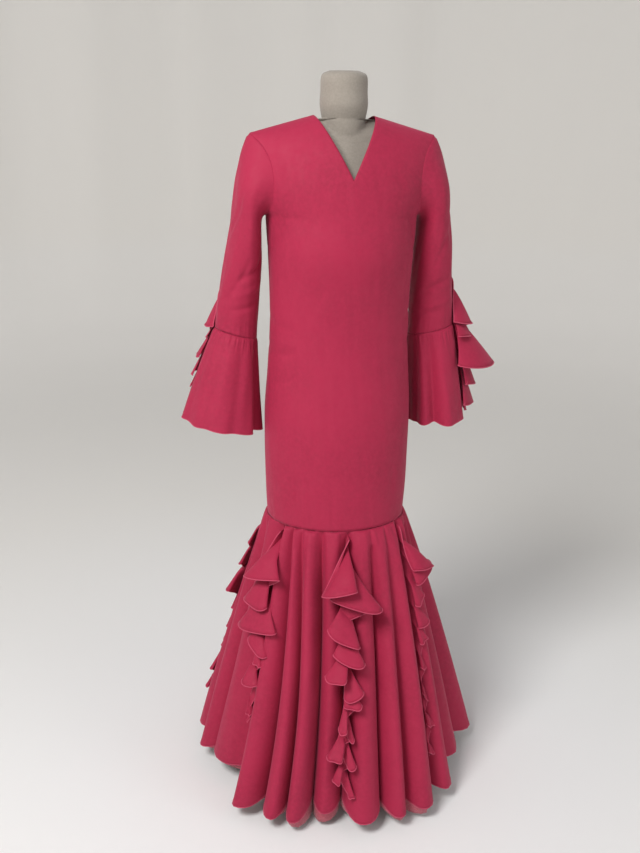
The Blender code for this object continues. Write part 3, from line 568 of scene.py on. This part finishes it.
# -------- Sleeves
SLEEVE_ROWS, SLEEVE_COLUMNS = 90, 120
BELL_ROWS, BELL_COLUMNS = 54, 240
SHOULDER_ROUND = 0.006  # how far the sleeve swells out below the shoulder
SHOULDER_MIDDLE, SHOULDER_SPREAD = 0.40, 0.55  # where it does so, in rings below the armhole
CREASES_FROM, CREASES_FULL, CAP_FULL = 0.05, 0.8, 0.12  # where the creases and that swell come in
SLEEVE_WAVES, SLEEVE_GATHERS = Waves(0.0007, 45, 9, 7), Waves(0.0007, 13, 3, 17, -0.5)
SLEEVE_GATHER_HEIGHT = 0.014
BELL_WAVES, BELL_GATHERS = Waves(0.0022, 33, 1.1, 29), Waves(0.0018, 11, 0.8, 23, 0.2)
BELL_GATHER_SHARE = 0.12
HOLLOW_LIFT = 0.22  # how much higher the hem is in a hollow, as a share of its depth
BELL_OPENING, FLUTE_GROWTH = 0.85, 0.6  # the powers of its length with which a bell opens and flutes


def ring_xyz(out_x, out_z, in_x, in_z, half_depth, y, angle):
    """Points of a slanting ring, from the outermost one round by the front."""
    cos, sin = np.cos(angle), np.sin(angle)
    x = (out_x + in_x) / 2 + (out_x - in_x) / 2 * cos
    z = (out_z + in_z) / 2 + (out_z - in_z) / 2 * cos
    return points(x, y - half_depth * sin, z)


def armhole(share):
    """The sleeve's edge at the armhole: from the shoulder tip down the front and up the back."""
    tip_row = YOKE_FRONT[-1].row
    rows = np.abs(tip_row - 2 * tip_row * share)
    edge = []
    for yoke, back in ((YOKE_FRONT, False), (YOKE_BACK, True)):
        x, z = eased(yoke, "arm_x", rows), eased(yoke, "arm_z", rows)
        edge.append(yoke_xyz(x, z, back))
    edge = np.where((share <= 0.5)[:, None], edge[0], edge[1])
    away = edge - np.array([0, 0, (TIP_Z + CHEST_Z) / 2])
    away[:, 0] = 0
    away /= np.linalg.norm(away, axis=1, keepdims=True)
    return edge + away * CLOTH + np.array([SEWN_GAP, 0, 0])


def sleeve_grid(side):
    rings = SLEEVES[side]
    share = np.arange(SLEEVE_COLUMNS) / SLEEVE_COLUMNS
    angle = math.tau * share
    stack = [armhole(share)] + [ring_xyz(*ring, angle) for ring in rings]
    rows = np.linspace(0, len(rings), SLEEVE_ROWS)
    grid = eased_rows(np.arange(len(stack)), np.array(stack), rows)
    turn, z = np.degrees(angle)[None, :], grid[..., 2]
    calm = smoothstep(CREASES_FROM, CREASES_FULL, rows)[:, None]
    out = creased(turn, z, SLEEVE_RADIUS, SLEEVE_CREASES[side]) * calm
    out += waved(SLEEVE_WAVES, turn, z, len(side)) * calm
    cap = hump((rows - SHOULDER_MIDDLE) / SHOULDER_SPREAD)[:, None] * np.clip(np.cos(angle), 0, 1) ** 2
    out += SHOULDER_ROUND * cap * smoothstep(0, CAP_FULL, rows)[:, None]
    out += waved(SLEEVE_GATHERS, turn, z) * hump((z - rings[-1].out_z) / SLEEVE_GATHER_HEIGHT)
    return grid + normals(grid, closed=True) * out[..., None]


def bell_section(bell, ring, share):
    """The columns of the bell's ring at a share of its height, without flutes."""
    flare = share**BELL_OPENING
    shares = (flare, share, flare, share, flare, share)
    return tuple(mix(*columns) for columns in zip(ring, bell, shares))


def bell_grid(side):
    bell, last = BELLS[side], SLEEVES[side][-1]
    ring = last._replace(out_z=last.out_z - SEWN_GAP, in_z=last.in_z - SEWN_GAP)
    share = np.linspace(0, 1, BELL_ROWS)[:, None]
    angle = (math.tau * np.arange(BELL_COLUMNS) / BELL_COLUMNS)[None, :]
    turn, section = np.degrees(angle), bell_section(bell, ring, share)
    grid = ring_xyz(*section, angle)
    away = grid - points((section[0] + section[2]) / 2, section[5], grid[..., 2])
    away /= np.linalg.norm(away, axis=-1, keepdims=True)
    hollow = np.zeros_like(turn)
    for each in BELL_HOLLOWS[side]:
        hollow += each.depth * hump(apart(turn, each.turn) / each.width)
    out = (BELL_OUT - hollow) * share**FLUTE_GROWTH
    gathers = smoothstep(0, 0.04, share) * hump(share / BELL_GATHER_SHARE)
    out = out + waved(BELL_GATHERS, turn, share, len(side)) * gathers
    out = out + waved(BELL_WAVES, turn, share, len(side)) * share
    grid = grid + away * out[..., None]
    grid[..., 2] += HOLLOW_LIFT * hollow * share**4
    return grid


# -------- Skirt
FOLD_STEPS = 16  # columns from crest to crest
SKIRT_ROWS, UNDERSKIRT_ROWS = 96, 40
BESIDE_SEAM = 0.02  # a column just inside a gore's edge, counted in folds
GATHER_BAND = 0.11  # share of the skirt's length over which the gathers below the seam die out
SKIRT_WAVES, SKIRT_GATHERS = Waves(0.0026, 10.5, 1.4, 37), Waves(0.0036, 7.0, 1, 31, 0.45)
UNDERSKIRT_WAVES = Waves(0.0015, 6, 1, 41)
# The folds at the right of the front hang steeply before they flare: how far they are swung at half height
BOW_ANGLE, BOW_WIDTH, BOW_MOST = -38, 24, 3.6
FOLD_GROWTH = 0.60  # the power of the skirt's length with which its crests rise
VALLEY_GROWTH = 0.33  # the same for its valleys
VALLEY_DEPTH = 1.4  # how much deeper the valleys fall than on the rigid solids
LOWEST_OUT = 0.020  # a crest that stands out this far hangs lowest
FLARE_GROWTH = 0.92  # the power of the skirt's length with which it opens
SWELL_AT_SEAM, SWELL_FULL = 0.4, 0.5  # the share of a crest's swell at the seam, and where it has all
GATHERS_FULL, WAVES_FULL = 0.012, 0.1  # shares of the length over which these come in


def skirt_share(z):
    return (SEAM_Z - z) / (SEAM_Z - HEM_CREST_Z)


def fold_angle(top, hem, share):
    """The angle of a line that runs straight down the skirt from its top to its hem."""
    flare = share * HEM_RADIUS
    return top + (hem - top) * flare / (flare + (1 - share) * BODY[0].half_width)


def skirt_sheet(turn, share):
    """The angle and the reach beyond the plain cone of positions counted in folds. A whole number is a
    crest, and a whole number and a half is the valley after it."""
    turn, share = np.asarray(turn, float), np.clip(share, 0, None)
    before = np.floor(turn).astype(int)
    t = turn - before
    count, folds = len(FOLDS), np.array(FOLDS)
    here, after = folds[before % count], folds[(before + 1) % count]
    top, crest, crest_out, dip_top, dip, valley, start, swell = here.T
    whole, whole_after = 360 * (before // count), 360 * ((before + 1) // count)
    wave = t + swell * np.sin(math.tau * t) * mix(SWELL_AT_SEAM, 1, smoothstep(0, SWELL_FULL, share))
    first = fold_angle(top, crest, share) + whole
    middle = fold_angle(dip_top, dip, share) + whole
    last = fold_angle(after[:, 0], after[:, 1], share) + whole_after
    degrees = np.where(wave < 0.5, mix(first, middle, 2 * wave), mix(middle, last, 2 * wave - 1))
    near = (1 + np.cos(math.tau * t)) / 2
    grown = share**FOLD_GROWTH
    sunk = np.clip((share - start) / (1 - start), 0, None) ** VALLEY_GROWTH
    crest_out = np.where(t < 0.5, crest_out, after[:, 2])
    return degrees, near * crest_out * grown - (1 - near) * VALLEY_DEPTH * valley * sunk


def hem_height(turn):
    """Crests hang a little lower than valleys."""
    _, out = skirt_sheet(turn, 1.0)
    return HEM_CREST_Z + HEM_RISE * np.clip(LOWEST_OUT - out, 0, None)


def cone_xyz(degrees, z, out):
    """An oval at the seam that opens to a circle at the hem."""
    share = skirt_share(z)
    bowed = BOW_MOST * hump(apart(degrees, BOW_ANGLE) / BOW_WIDTH) * np.sin(math.pi * np.clip(share, 0, 1))
    angle = np.radians(degrees + bowed)
    seam, opened = BODY[0], np.clip(share, 0, None) ** FLARE_GROWTH
    half_width = mix(seam.half_width, HEM_RADIUS, opened) + out
    depth = mix(np.where(np.cos(angle) > 0, seam.front, seam.back), HEM_RADIUS, opened) + out
    return points(half_width * np.sin(angle), -depth * np.cos(angle), z)


def gore_grid(start, end):
    """The cloth between two valleys, from the hem up to the seam."""
    turn = np.linspace(start, end, round((end - start) * FOLD_STEPS) + 1)
    turn = np.concatenate([[start, start + BESIDE_SEAM], turn[1:-1], [end - BESIDE_SEAM, end]])
    z = mix(hem_height(turn), SEAM_Z - SEWN_GAP, np.linspace(0, 1, SKIRT_ROWS)[:, None])
    share = skirt_share(z)
    degrees, out = skirt_sheet(turn, share)
    ends = np.zeros_like(turn)
    ends[0], ends[-1] = 1, -1
    degrees = degrees + ends * math.degrees(SEAM_GAP / 2 / BODY[0].front)
    gathers = smoothstep(0, GATHERS_FULL, share) * hump(share / GATHER_BAND)
    out = out + waved(SKIRT_GATHERS, degrees, share) * gathers
    out = out + waved(SKIRT_WAVES, degrees, share) * share**0.7 * smoothstep(0, WAVES_FULL, share)
    return cone_xyz(degrees, z, out + WALL)


def underskirt_grid():
    turn = np.arange(len(FOLDS) * 10) / 10
    share = np.linspace(1, 0, UNDERSKIRT_ROWS)[:, None]
    inset = mix(UNDERSKIRT_INSET, UNDERSKIRT_HEM_INSET, np.sqrt(share))
    hem = np.full(len(turn), UNDERSKIRT_HEM_Z)
    for dip in UNDERSKIRT_DIPS:
        away = np.abs(apart(skirt_sheet(turn, 1.0)[0], dip.turn)) / dip.width
        hem = hem - dip.depth * np.clip(1 - away * away, 0, None)
    z = mix(UNDERSKIRT_TOP_Z, hem, share)
    degrees, out = skirt_sheet(turn, skirt_share(z))
    return cone_xyz(degrees, z, out - inset + waved(UNDERSKIRT_WAVES, degrees, share) * share)


# -------- Cascades
LEAF_STEPS, LEAF_ACROSS = 16, 14
LEAF_UNEVEN = 0.12  # how much the tips of a cascade with a seed differ from its table
# Half way from one tip to the next: how much more the cloth stands out, in front and behind, and how far
# its hem bends, as shares of the lift
SKIRT_BULGE, SLEEVE_BULGE, BACK_BULGE = 0.5, 0.85, -0.40
FIRST_DROP, FRONT_DROP, BACK_DROP = 0.10, -0.16, -0.05
HEM_WAVE, CURL, LEAF_WAVE = 0.0022, 0.0022, 0.0014  # in metres


def cascade_grid(leaves, place, bulge, seed):
    """A flounce whose short edge is sewn to a seam and whose long edge swings from side to side, in front
    from one tip to the next and then back behind. Rows go from the seam out, columns downwards."""
    tips = np.array(leaves)
    uneven = LEAF_UNEVEN * ripple(np.arange(len(leaves)) * 0.7, 0, seed) * (seed > 0)
    tips[:, 1:] *= 1 + uneven[:, None] * np.array([1, -1, 1])
    number = np.linspace(0, len(leaves) - 1, (len(leaves) - 1) * LEAF_STEPS + 1)
    low = np.clip(np.floor(number).astype(int), 0, len(leaves) - 2)
    t = number - low
    here, after = tips[low].T, tips[low + 1].T
    swing, middle, front = (1 - np.cos(math.pi * t)) / 2, np.sin(math.pi * t), low % 2 == 1
    z = mix(here[0], after[0], t)
    bottom = mix(here[0] - here[1], after[0] - after[1], swing)
    reach, lift = mix(here[2:], after[2:], swing)
    lift = lift * (1 + np.where(front, bulge, BACK_BULGE) * middle)
    drop = np.where(low == 1, FIRST_DROP, np.where(front, FRONT_DROP, BACK_DROP))
    bottom = bottom + drop * lift * middle + HEM_WAVE * np.sin(math.tau * t + 1.9 * low) * middle
    curled = CURL * np.sin(math.tau * 1.5 * t + seed) * middle
    width = np.linspace(0, 1, LEAF_ACROSS)[:, None]
    out = LEAF_CLEARANCE * np.minimum(8 * width, 1) + lift * width**0.85
    out = out + LEAF_WAVE * ripple(number * 1.3, width * 0.6, seed + 3) * width
    return place(mix(z, bottom, width), reach * width**1.25, out + curled * width**3, width)


def skirt_place(cascade):
    """A function that gives the points of a skirt cascade at a height, sideways and outwards. Its sewn
    edge lies in the valley, and the rest of it falls between the crests beside, or over them."""
    fold = FOLDS[GORES[cascade.gore]]

    def place(z, side, out, width):
        share = np.clip(skirt_share(z), 0, None)
        radius = mix(BODY[0].front, HEM_RADIUS, share)
        degrees = fold_angle(fold.dip_top, fold.dip, share) + np.degrees(side * cascade.side / radius)
        valley = VALLEY_DEPTH * fold.valley * share**VALLEY_GROWTH
        over = mix(cascade.top_level, cascade.hem_level, share) * LEAF_LEVEL * share**FOLD_GROWTH
        return cone_xyz(degrees, z, -valley + (valley + over) * smoothstep(0, 0.6, width) + WALL + out)

    return place


def sleeve_place(side):
    """The same for a sleeve's cascade."""
    rings, bell = SLEEVES[side], BELLS[side]
    high, low = rings[-2], rings[-1]

    def place(z, along_ring, out, width):
        z, along_ring, out = np.broadcast_arrays(z, along_ring, out)
        above = len(rings) - 2 + np.clip((high.out_z - z) / (high.out_z - low.out_z), -1, 1)
        below = np.clip((low.out_z - z) / (low.out_z - bell.hem_out_z), 0, None)
        upper = np.moveaxis(eased_rows(np.arange(len(rings)), rings, above), -1, 0)
        columns = [np.where(z >= low.out_z, a, b) for a, b in zip(upper, bell_section(bell, low, below))]
        out_x, _, in_x, _, half_depth, y = columns
        out = out + BELL_OUT * below**FLUTE_GROWTH
        half_width = (out_x - in_x) / 2
        angle = math.radians(SLEEVE_SEAM_TURN[side]) + along_ring / half_width
        x = (out_x + in_x) / 2 + (half_width + out) * np.cos(angle)
        return points(x, y - (half_depth + out) * np.sin(angle), z)

    return place


# -------- Dress form
FORM_COLUMNS, FORM_ROWS, NECK_ROWS = 144, 150, 40


def form_half_width(z, ease):
    """Half the form's width above the underarm, inside the armholes and the shoulder seams."""
    heights = [CHEST_Z] + [row.arm_z for row in YOKE_FRONT[1:]]
    widths = [BODY[-1].half_width] + [row.arm_x for row in YOKE_FRONT[1:]]
    below = np.interp(z, heights, widths) - FORM_ARM_EASE
    above = NECK_X + (NECK_Z - z - ease) / SHOULDER_SLOPE
    return np.where(z >= TIP_Z, above, below)


def form_grid():
    """The form's skin, from the hips to the top of the neck."""
    angle = (math.tau * np.arange(FORM_COLUMNS) / FORM_COLUMNS)[None, :]
    heights, eases = np.array(FORM_EASE).T
    z = np.unique(np.concatenate([np.linspace(heights[0], heights[-1], FORM_ROWS), heights]))[:, None]
    ease = np.interp(z, heights, eases)
    lower = body_xyz(np.degrees(angle), np.minimum(z, CHEST_Z), ease)
    back = np.cos(angle) < 0
    x = form_half_width(z, ease) * np.sin(angle)
    y = np.where(back, *(yoke_xyz(x, z, behind, ease)[..., 1] for behind in (True, False)))
    rise = (z + ease - CHEST_Z) / (shoulder_z(x) - CHEST_Z)
    roof = np.where(back, BODY[-1].back, BODY[-1].front) * FORM_ROOF * np.clip(1 - rise, 0, None)
    throat = NECK[0].half_depth * np.sqrt(np.clip(1 - (x / NECK[0].half_width) ** 2, 0, None))
    limit = np.maximum(roof, throat)
    upper = points(x, np.clip(y, -limit, limit), z)
    torso = np.where((z <= CHEST_Z)[..., None], lower, upper)
    heights = np.linspace(NECK[0].z, NECK[-1].z, NECK_ROWS)[:, None]
    half_width, half_depth, y = (eased(NECK, c, heights) for c in ("half_width", "half_depth", "y"))
    neck = points(half_width * np.sin(angle), y - half_depth * np.cos(angle), heights)
    return torso, neck


# -------- Materials
CLOTH_COLOUR = (0.345, 0.0140, 0.0530)
HEM_COLOUR = (0.480, 0.050, 0.110)


class Nodes:
    """Builds a material's nodes, with links given as the values of their inputs."""

    def __init__(self, name, **values):
        self.material = bpy.data.materials.new(name)
        self.material.use_nodes = True
        self.tree = self.material.node_tree
        self.shader = self.tree.nodes["Principled BSDF"]
        self.shade(**values)

    def set(self, node, values):
        for name, value in values.items():
            socket = node.inputs[name if isinstance(name, int) else name.replace("_", " ")]
            if isinstance(value, bpy.types.NodeSocket):
                self.tree.links.new(value, socket)
            else:
                socket.default_value = (*value, 1) if socket.type == "RGBA" and len(value) == 3 else value

    def shade(self, **values):
        self.set(self.shader, values)

    def add(self, kind, settings=None, inputs=None, output=0):
        node = self.tree.nodes.new("ShaderNode" + kind)
        for name, value in (settings or {}).items():
            setattr(node, name, value)
        self.set(node, inputs or {})
        return node.outputs[output]

    def place(self):
        return self.add("TexCoord", output="Object")

    def lengths(self):
        return self.add("UVMap", {"uv_map": "cloth"})

    def noise(self, vector, scale, detail=2.0, roughness=0.5):
        inputs = {"Vector": vector, "Scale": scale, "Detail": detail, "Roughness": roughness}
        return self.add("TexNoise", None, inputs, output="Fac")

    def stripes(self, vector, period, axis="X"):
        """Round ridges, a period apart, along the axis of a vector in metres."""
        settings = {"wave_type": "BANDS", "bands_direction": axis, "wave_profile": "SIN"}
        inputs = {"Vector": vector, "Scale": math.tau / 20 / period}
        return self.add("TexWave", settings, inputs, output="Fac")

    def math(self, operation, a, b):
        return self.add("Math", {"operation": operation}, {0: a, 1: b})

    def ramp(self, value, low, high, at_low=0.0, at_high=1.0):
        names = ("Value", "From Min", "From Max", "To Min", "To Max")
        return self.add("MapRange", None, dict(zip(names, (value, low, high, at_low, at_high))))

    def blend(self, share, a, b):
        return self.add("Mix", {"data_type": "RGBA"}, {0: share, 6: a, 7: b}, output=2)

    def bump(self, height, distance, strength, normal=None):
        inputs = {"Height": height, "Distance": distance, "Strength": strength}
        if normal is not None:
            inputs["Normal"] = normal
        return self.add("Bump", None, inputs)


def scaled(colour, by):
    return tuple(channel * by for channel in colour)


def woven(name, colour, thread, grain, roughness, **values):
    """Plain-woven cloth: threads both ways, a pebbled grain, slubs and slow changes of shade."""
    nodes = Nodes(name, Roughness=roughness, Specular_IOR_Level=0.3, **values)
    place, lengths = nodes.place(), nodes.lengths()
    slow = nodes.noise(place, 5.5, 4.0, 0.55)
    shade = nodes.blend(nodes.ramp(slow, 0.35, 0.65), scaled(colour, 0.90), scaled(colour, 1.08))
    slub = nodes.ramp(nodes.noise(place, 140.0), 0.35, 0.75)
    shade = nodes.blend(slub, shade, scaled(colour, 1.10))
    warp, weft = nodes.stripes(lengths, thread, "X"), nodes.stripes(lengths, thread * 1.1, "Y")
    threads = nodes.bump(nodes.math("MAXIMUM", warp, weft), thread * 0.25, 0.22)
    pebbles = nodes.bump(nodes.noise(place, 1 / grain, 3.0, 0.6), grain * 0.30, 0.3, threads)
    soft = nodes.bump(nodes.noise(place, 24.0), 0.0012, 0.15, pebbles)
    rough = nodes.ramp(nodes.noise(place, 60.0), 0.3, 0.7, roughness - 0.05, roughness + 0.06)
    nodes.shade(Base_Color=shade, Normal=soft, Roughness=rough)
    return nodes.material


def tulle():
    """Stiff net: fine round threads with open cells between them."""
    nodes = Nodes("tulle", Roughness=0.75, Sheen_Weight=0.25, Sheen_Roughness=0.5)
    lengths = nodes.lengths()
    slow = nodes.noise(nodes.place(), 9.0, 3.0)
    colour = nodes.blend(slow, (0.480, 0.075, 0.115), (0.600, 0.130, 0.180))
    net = nodes.math("MAXIMUM", nodes.stripes(lengths, 0.0016, "X"), nodes.stripes(lengths, 0.0016, "Y"))
    cells = nodes.ramp(net, 0.60, 0.80, 0.35, 0.95)
    nodes.shade(Base_Color=colour, Alpha=cells, Normal=nodes.bump(net, 0.0003, 0.5))
    return nodes.material


def form_cover():
    """Knitted jersey stretched over the form."""
    nodes = Nodes("form_cover", Roughness=0.9, Sheen_Weight=0.2, Sheen_Roughness=0.5)
    place = nodes.place()
    patches = nodes.ramp(nodes.noise(place, 7.0, 4.0), 0.35, 0.65)
    fibres = nodes.ramp(nodes.noise(place, 260.0), 0.3, 0.7)
    colour = nodes.blend(patches, (0.250, 0.222, 0.190), (0.290, 0.260, 0.225))
    colour = nodes.blend(nodes.math("MULTIPLY", fibres, 0.35), colour, (0.36, 0.33, 0.29))
    ribs = nodes.math("MAXIMUM", nodes.stripes(place, 0.0012, "Z"), nodes.stripes(place, 0.0014, "X"))
    knit = nodes.bump(ribs, 0.0003, 0.5)
    nodes.shade(Base_Color=colour, Normal=nodes.bump(fibres, 0.0002, 0.4, knit))
    return nodes.material


def painted(name, colour, worn, metallic, roughness):
    """Paint or lacquer with a fine orange-peel, a little dust and rubbed patches."""
    nodes = Nodes(name, Metallic=metallic, Coat_Weight=0.25, Coat_Roughness=0.3)
    place = nodes.place()
    rubbed = nodes.ramp(nodes.noise(place, 90.0, 5.0, 0.65), 0.52, 0.72, 0.0, 0.6)
    dust = nodes.ramp(nodes.noise(place, 14.0, 5.0), 0.3, 0.7, roughness - 0.06, roughness + 0.12)
    peel = nodes.bump(nodes.noise(place, 900.0), 0.00008, 0.5)
    nodes.shade(Base_Color=nodes.blend(rubbed, colour, worn), Roughness=dust, Normal=peel)
    return nodes.material


def add_flounce(name, grid, hem_row, crepe, hem, closed=False, offset=-1):
    """Gathered cloth with a rolled hem along one of its rows, sewn to another piece."""
    cloth = add_cloth(f"{name}_cloth", [grid], crepe, [name], closed, offset)
    edge = grid[hem_row] + normals(grid, closed)[hem_row] * CLOTH / 2 * offset
    roll = add_roll(f"{name}_hem", [edge], HEM_ROLL, hem, closed)


def add_dress():
    crepe = woven(
        "crepe", CLOTH_COLOUR, 0.0006, 0.0009, 0.72, Sheen_Weight=0.22, Sheen_Roughness=0.45,
        Sheen_Tint=(0.95, 0.30, 0.45),
    )
    hem = woven(
        "crepe_hem", HEM_COLOUR, 0.0005, 0.0007, 0.70, Sheen_Weight=0.4, Sheen_Roughness=0.45,
        Sheen_Tint=(0.95, 0.45, 0.58),
    )
    panels = add_bodice(crepe)
    neck = add_roll("neck_edge", neck_edges(), EDGE_ROLL, crepe)

    for side in SIDES:
        turned = mirrored if side == "right" else np.array
        grid = turned(sleeve_grid(side))
        sleeve = add_cloth(
            f"sleeve_{side}_cloth", [grid], crepe, [f"sleeve_{side}"], closed=True, offset=-1
        )
        grid = turned(bell_grid(side))
        add_flounce(f"sleeve_bell_{side}", grid, -1, crepe, hem, closed=True)
        grid = turned(cascade_grid(SLEEVE_LEAVES[side], sleeve_place(side), SLEEVE_BULGE, 0))
        add_flounce(f"sleeve_cascade_{side}", grid, -1, crepe, hem, offset=0)

    seams = list(GORES.values())
    for name, start, end in zip(GORES, seams, seams[1:] + [seams[0] + len(FOLDS)]):
        grid = gore_grid(start + 0.5, end + 0.5)
        add_flounce(f"skirt_gore_{name}", grid, 0, crepe, hem)

    for cascade in SKIRT_CASCADES:
        grid = cascade_grid(cascade.leaves, skirt_place(cascade), SKIRT_BULGE, cascade.seed)
        if cascade.side < 0:
            grid = grid[:, ::-1]
        add_flounce(f"skirt_cascade_{cascade.name}", grid, -1, crepe, hem, offset=0)

    under = add_cloth(
        "underskirt_net", [underskirt_grid()], tulle(), ["underskirt"], closed=True, wall=NET
    )


def add_form_skin():
    torso, neck = form_grid()
    cap = [neck[-1] * np.array([s, s, 1.0]) for s in (0.9, 0.6, 0.3, 0.05)]
    underside = [torso[0] * np.array([s, s, 1.0]) for s in (0.05, 0.4, 0.8)]
    grid = np.concatenate([underside, torso, neck, cap])
    mesh = cloth_mesh("form_skin", [grid], closed=True)
    add_object("form_skin", mesh, form_cover(), ["form_torso"])


def finish_carried_nodes():
    """The model's own solids that show as they are get their finish here."""
    steel = painted("painted_steel", (0.72, 0.71, 0.69), (0.60, 0.59, 0.57), 0.0, 0.35)
    lacquer = painted("zip_metal", (0.36, 0.030, 0.070), (0.55, 0.36, 0.34), 0.6, 0.38)
    tape = woven("zip_tape", (0.30, 0.016, 0.050), 0.0008, 0.0008, 0.8, Sheen_Weight=0.2)
    finishes = {
        "form_pole": steel, "form_base": steel, "zip_slider": lacquer, "zip_pull": lacquer, "zip_tape": tape,
    }
    for name, finish in finishes.items():
        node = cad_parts[name]
        node.data.materials.clear()
        node.data.materials.append(finish)


# -------- Studio
def add_studio():
    """A pale floor that curves up into a draped backdrop, all round the dress and well away from it."""
    turn = np.linspace(0, math.tau, 361)[:-1][None, :]
    radius = np.array([0.001, 0.3, 0.6, 1.0, 1.6, 2.2, 2.8, 3.2, 3.55, 3.8, 3.95, 4.02, 4.05, 4.05, 4.05])
    height = np.array([0, 0, 0, 0, 0, 0, 0, 0.02, 0.09, 0.22, 0.42, 0.70, 1.10, 2.6, 5.0])
    radius, height = radius[:, None], height[:, None]
    drape = 0.05 * smoothstep(0.02, 1.2, height)
    folds = ripple(turn * 4.3, 0, 71) + 0.5 * ripple(turn * 8.6, 0.2, 72)
    folds = folds * smoothstep(0, 0.4, turn) * smoothstep(math.tau, math.tau - 0.4, turn)
    r = radius + drape * folds
    grid = points(r * np.sin(turn), -r * np.cos(turn), height - 0.0005)
    mesh = cloth_mesh("studio", [grid[:, ::-1]], closed=True)
    nodes = Nodes("studio", Roughness=0.9, Specular_IOR_Level=0.1)
    place = nodes.place()
    up = nodes.add("SeparateXYZ", None, {"Vector": place}, output="Z")
    far = nodes.add("VectorMath", {"operation": "LENGTH"}, {0: place}, output="Value")
    cloth = nodes.math("MAXIMUM", nodes.ramp(up, 0.0, 0.8, 0.0, 1.0), nodes.ramp(far, 0.55, 1.7, 0.0, 0.8))
    mottled = nodes.noise(place, 1.2, 3.0)
    colour = nodes.blend(cloth, (0.86, 0.87, 0.88), (0.86, 0.845, 0.815))
    colour = nodes.blend(nodes.math("MULTIPLY", mottled, 0.15), colour, (0.80, 0.80, 0.80))
    grain = nodes.bump(nodes.noise(place, 180.0), 0.001, 0.2)
    nodes.shade(Base_Color=colour, Normal=grain)
    mesh.materials.append(nodes.material)
    made = new_object("studio", mesh)
    made.visible_shadow = False


def add_light(name, place, towards, size, watts, colour):
    data = bpy.data.lights.new(name, "AREA")
    data.shape, data.size, data.energy, data.color = "DISK", size, watts, colour
    made = new_object(name, data)
    made.location = place
    made.rotation_mode = "QUATERNION"
    made.rotation_quaternion = (Vector(towards) - Vector(place)).to_track_quat("-Z", "Y")


def add_lights():
    world = bpy.data.worlds.new("studio_light")
    world.use_nodes = True
    background = world.node_tree.nodes["Background"]
    background.inputs["Color"].default_value = (0.93, 0.95, 1.0, 1.0)
    background.inputs["Strength"].default_value = 0.26
    bpy.context.scene.world = world
    add_light("key", (-1.9, -1.9, 3.3), (0, 0, 0.70), 1.4, 117, (1.0, 0.98, 0.96))
    add_light("fill", (2.3, -2.2, 1.7), (0, 0, 0.7), 2.0, 13, (0.95, 0.97, 1.0))
    bpy.context.scene.view_settings.view_transform = "Standard"


add_dress()
add_form_skin()
finish_carried_nodes()
add_studio()
add_lights()
add_camera()
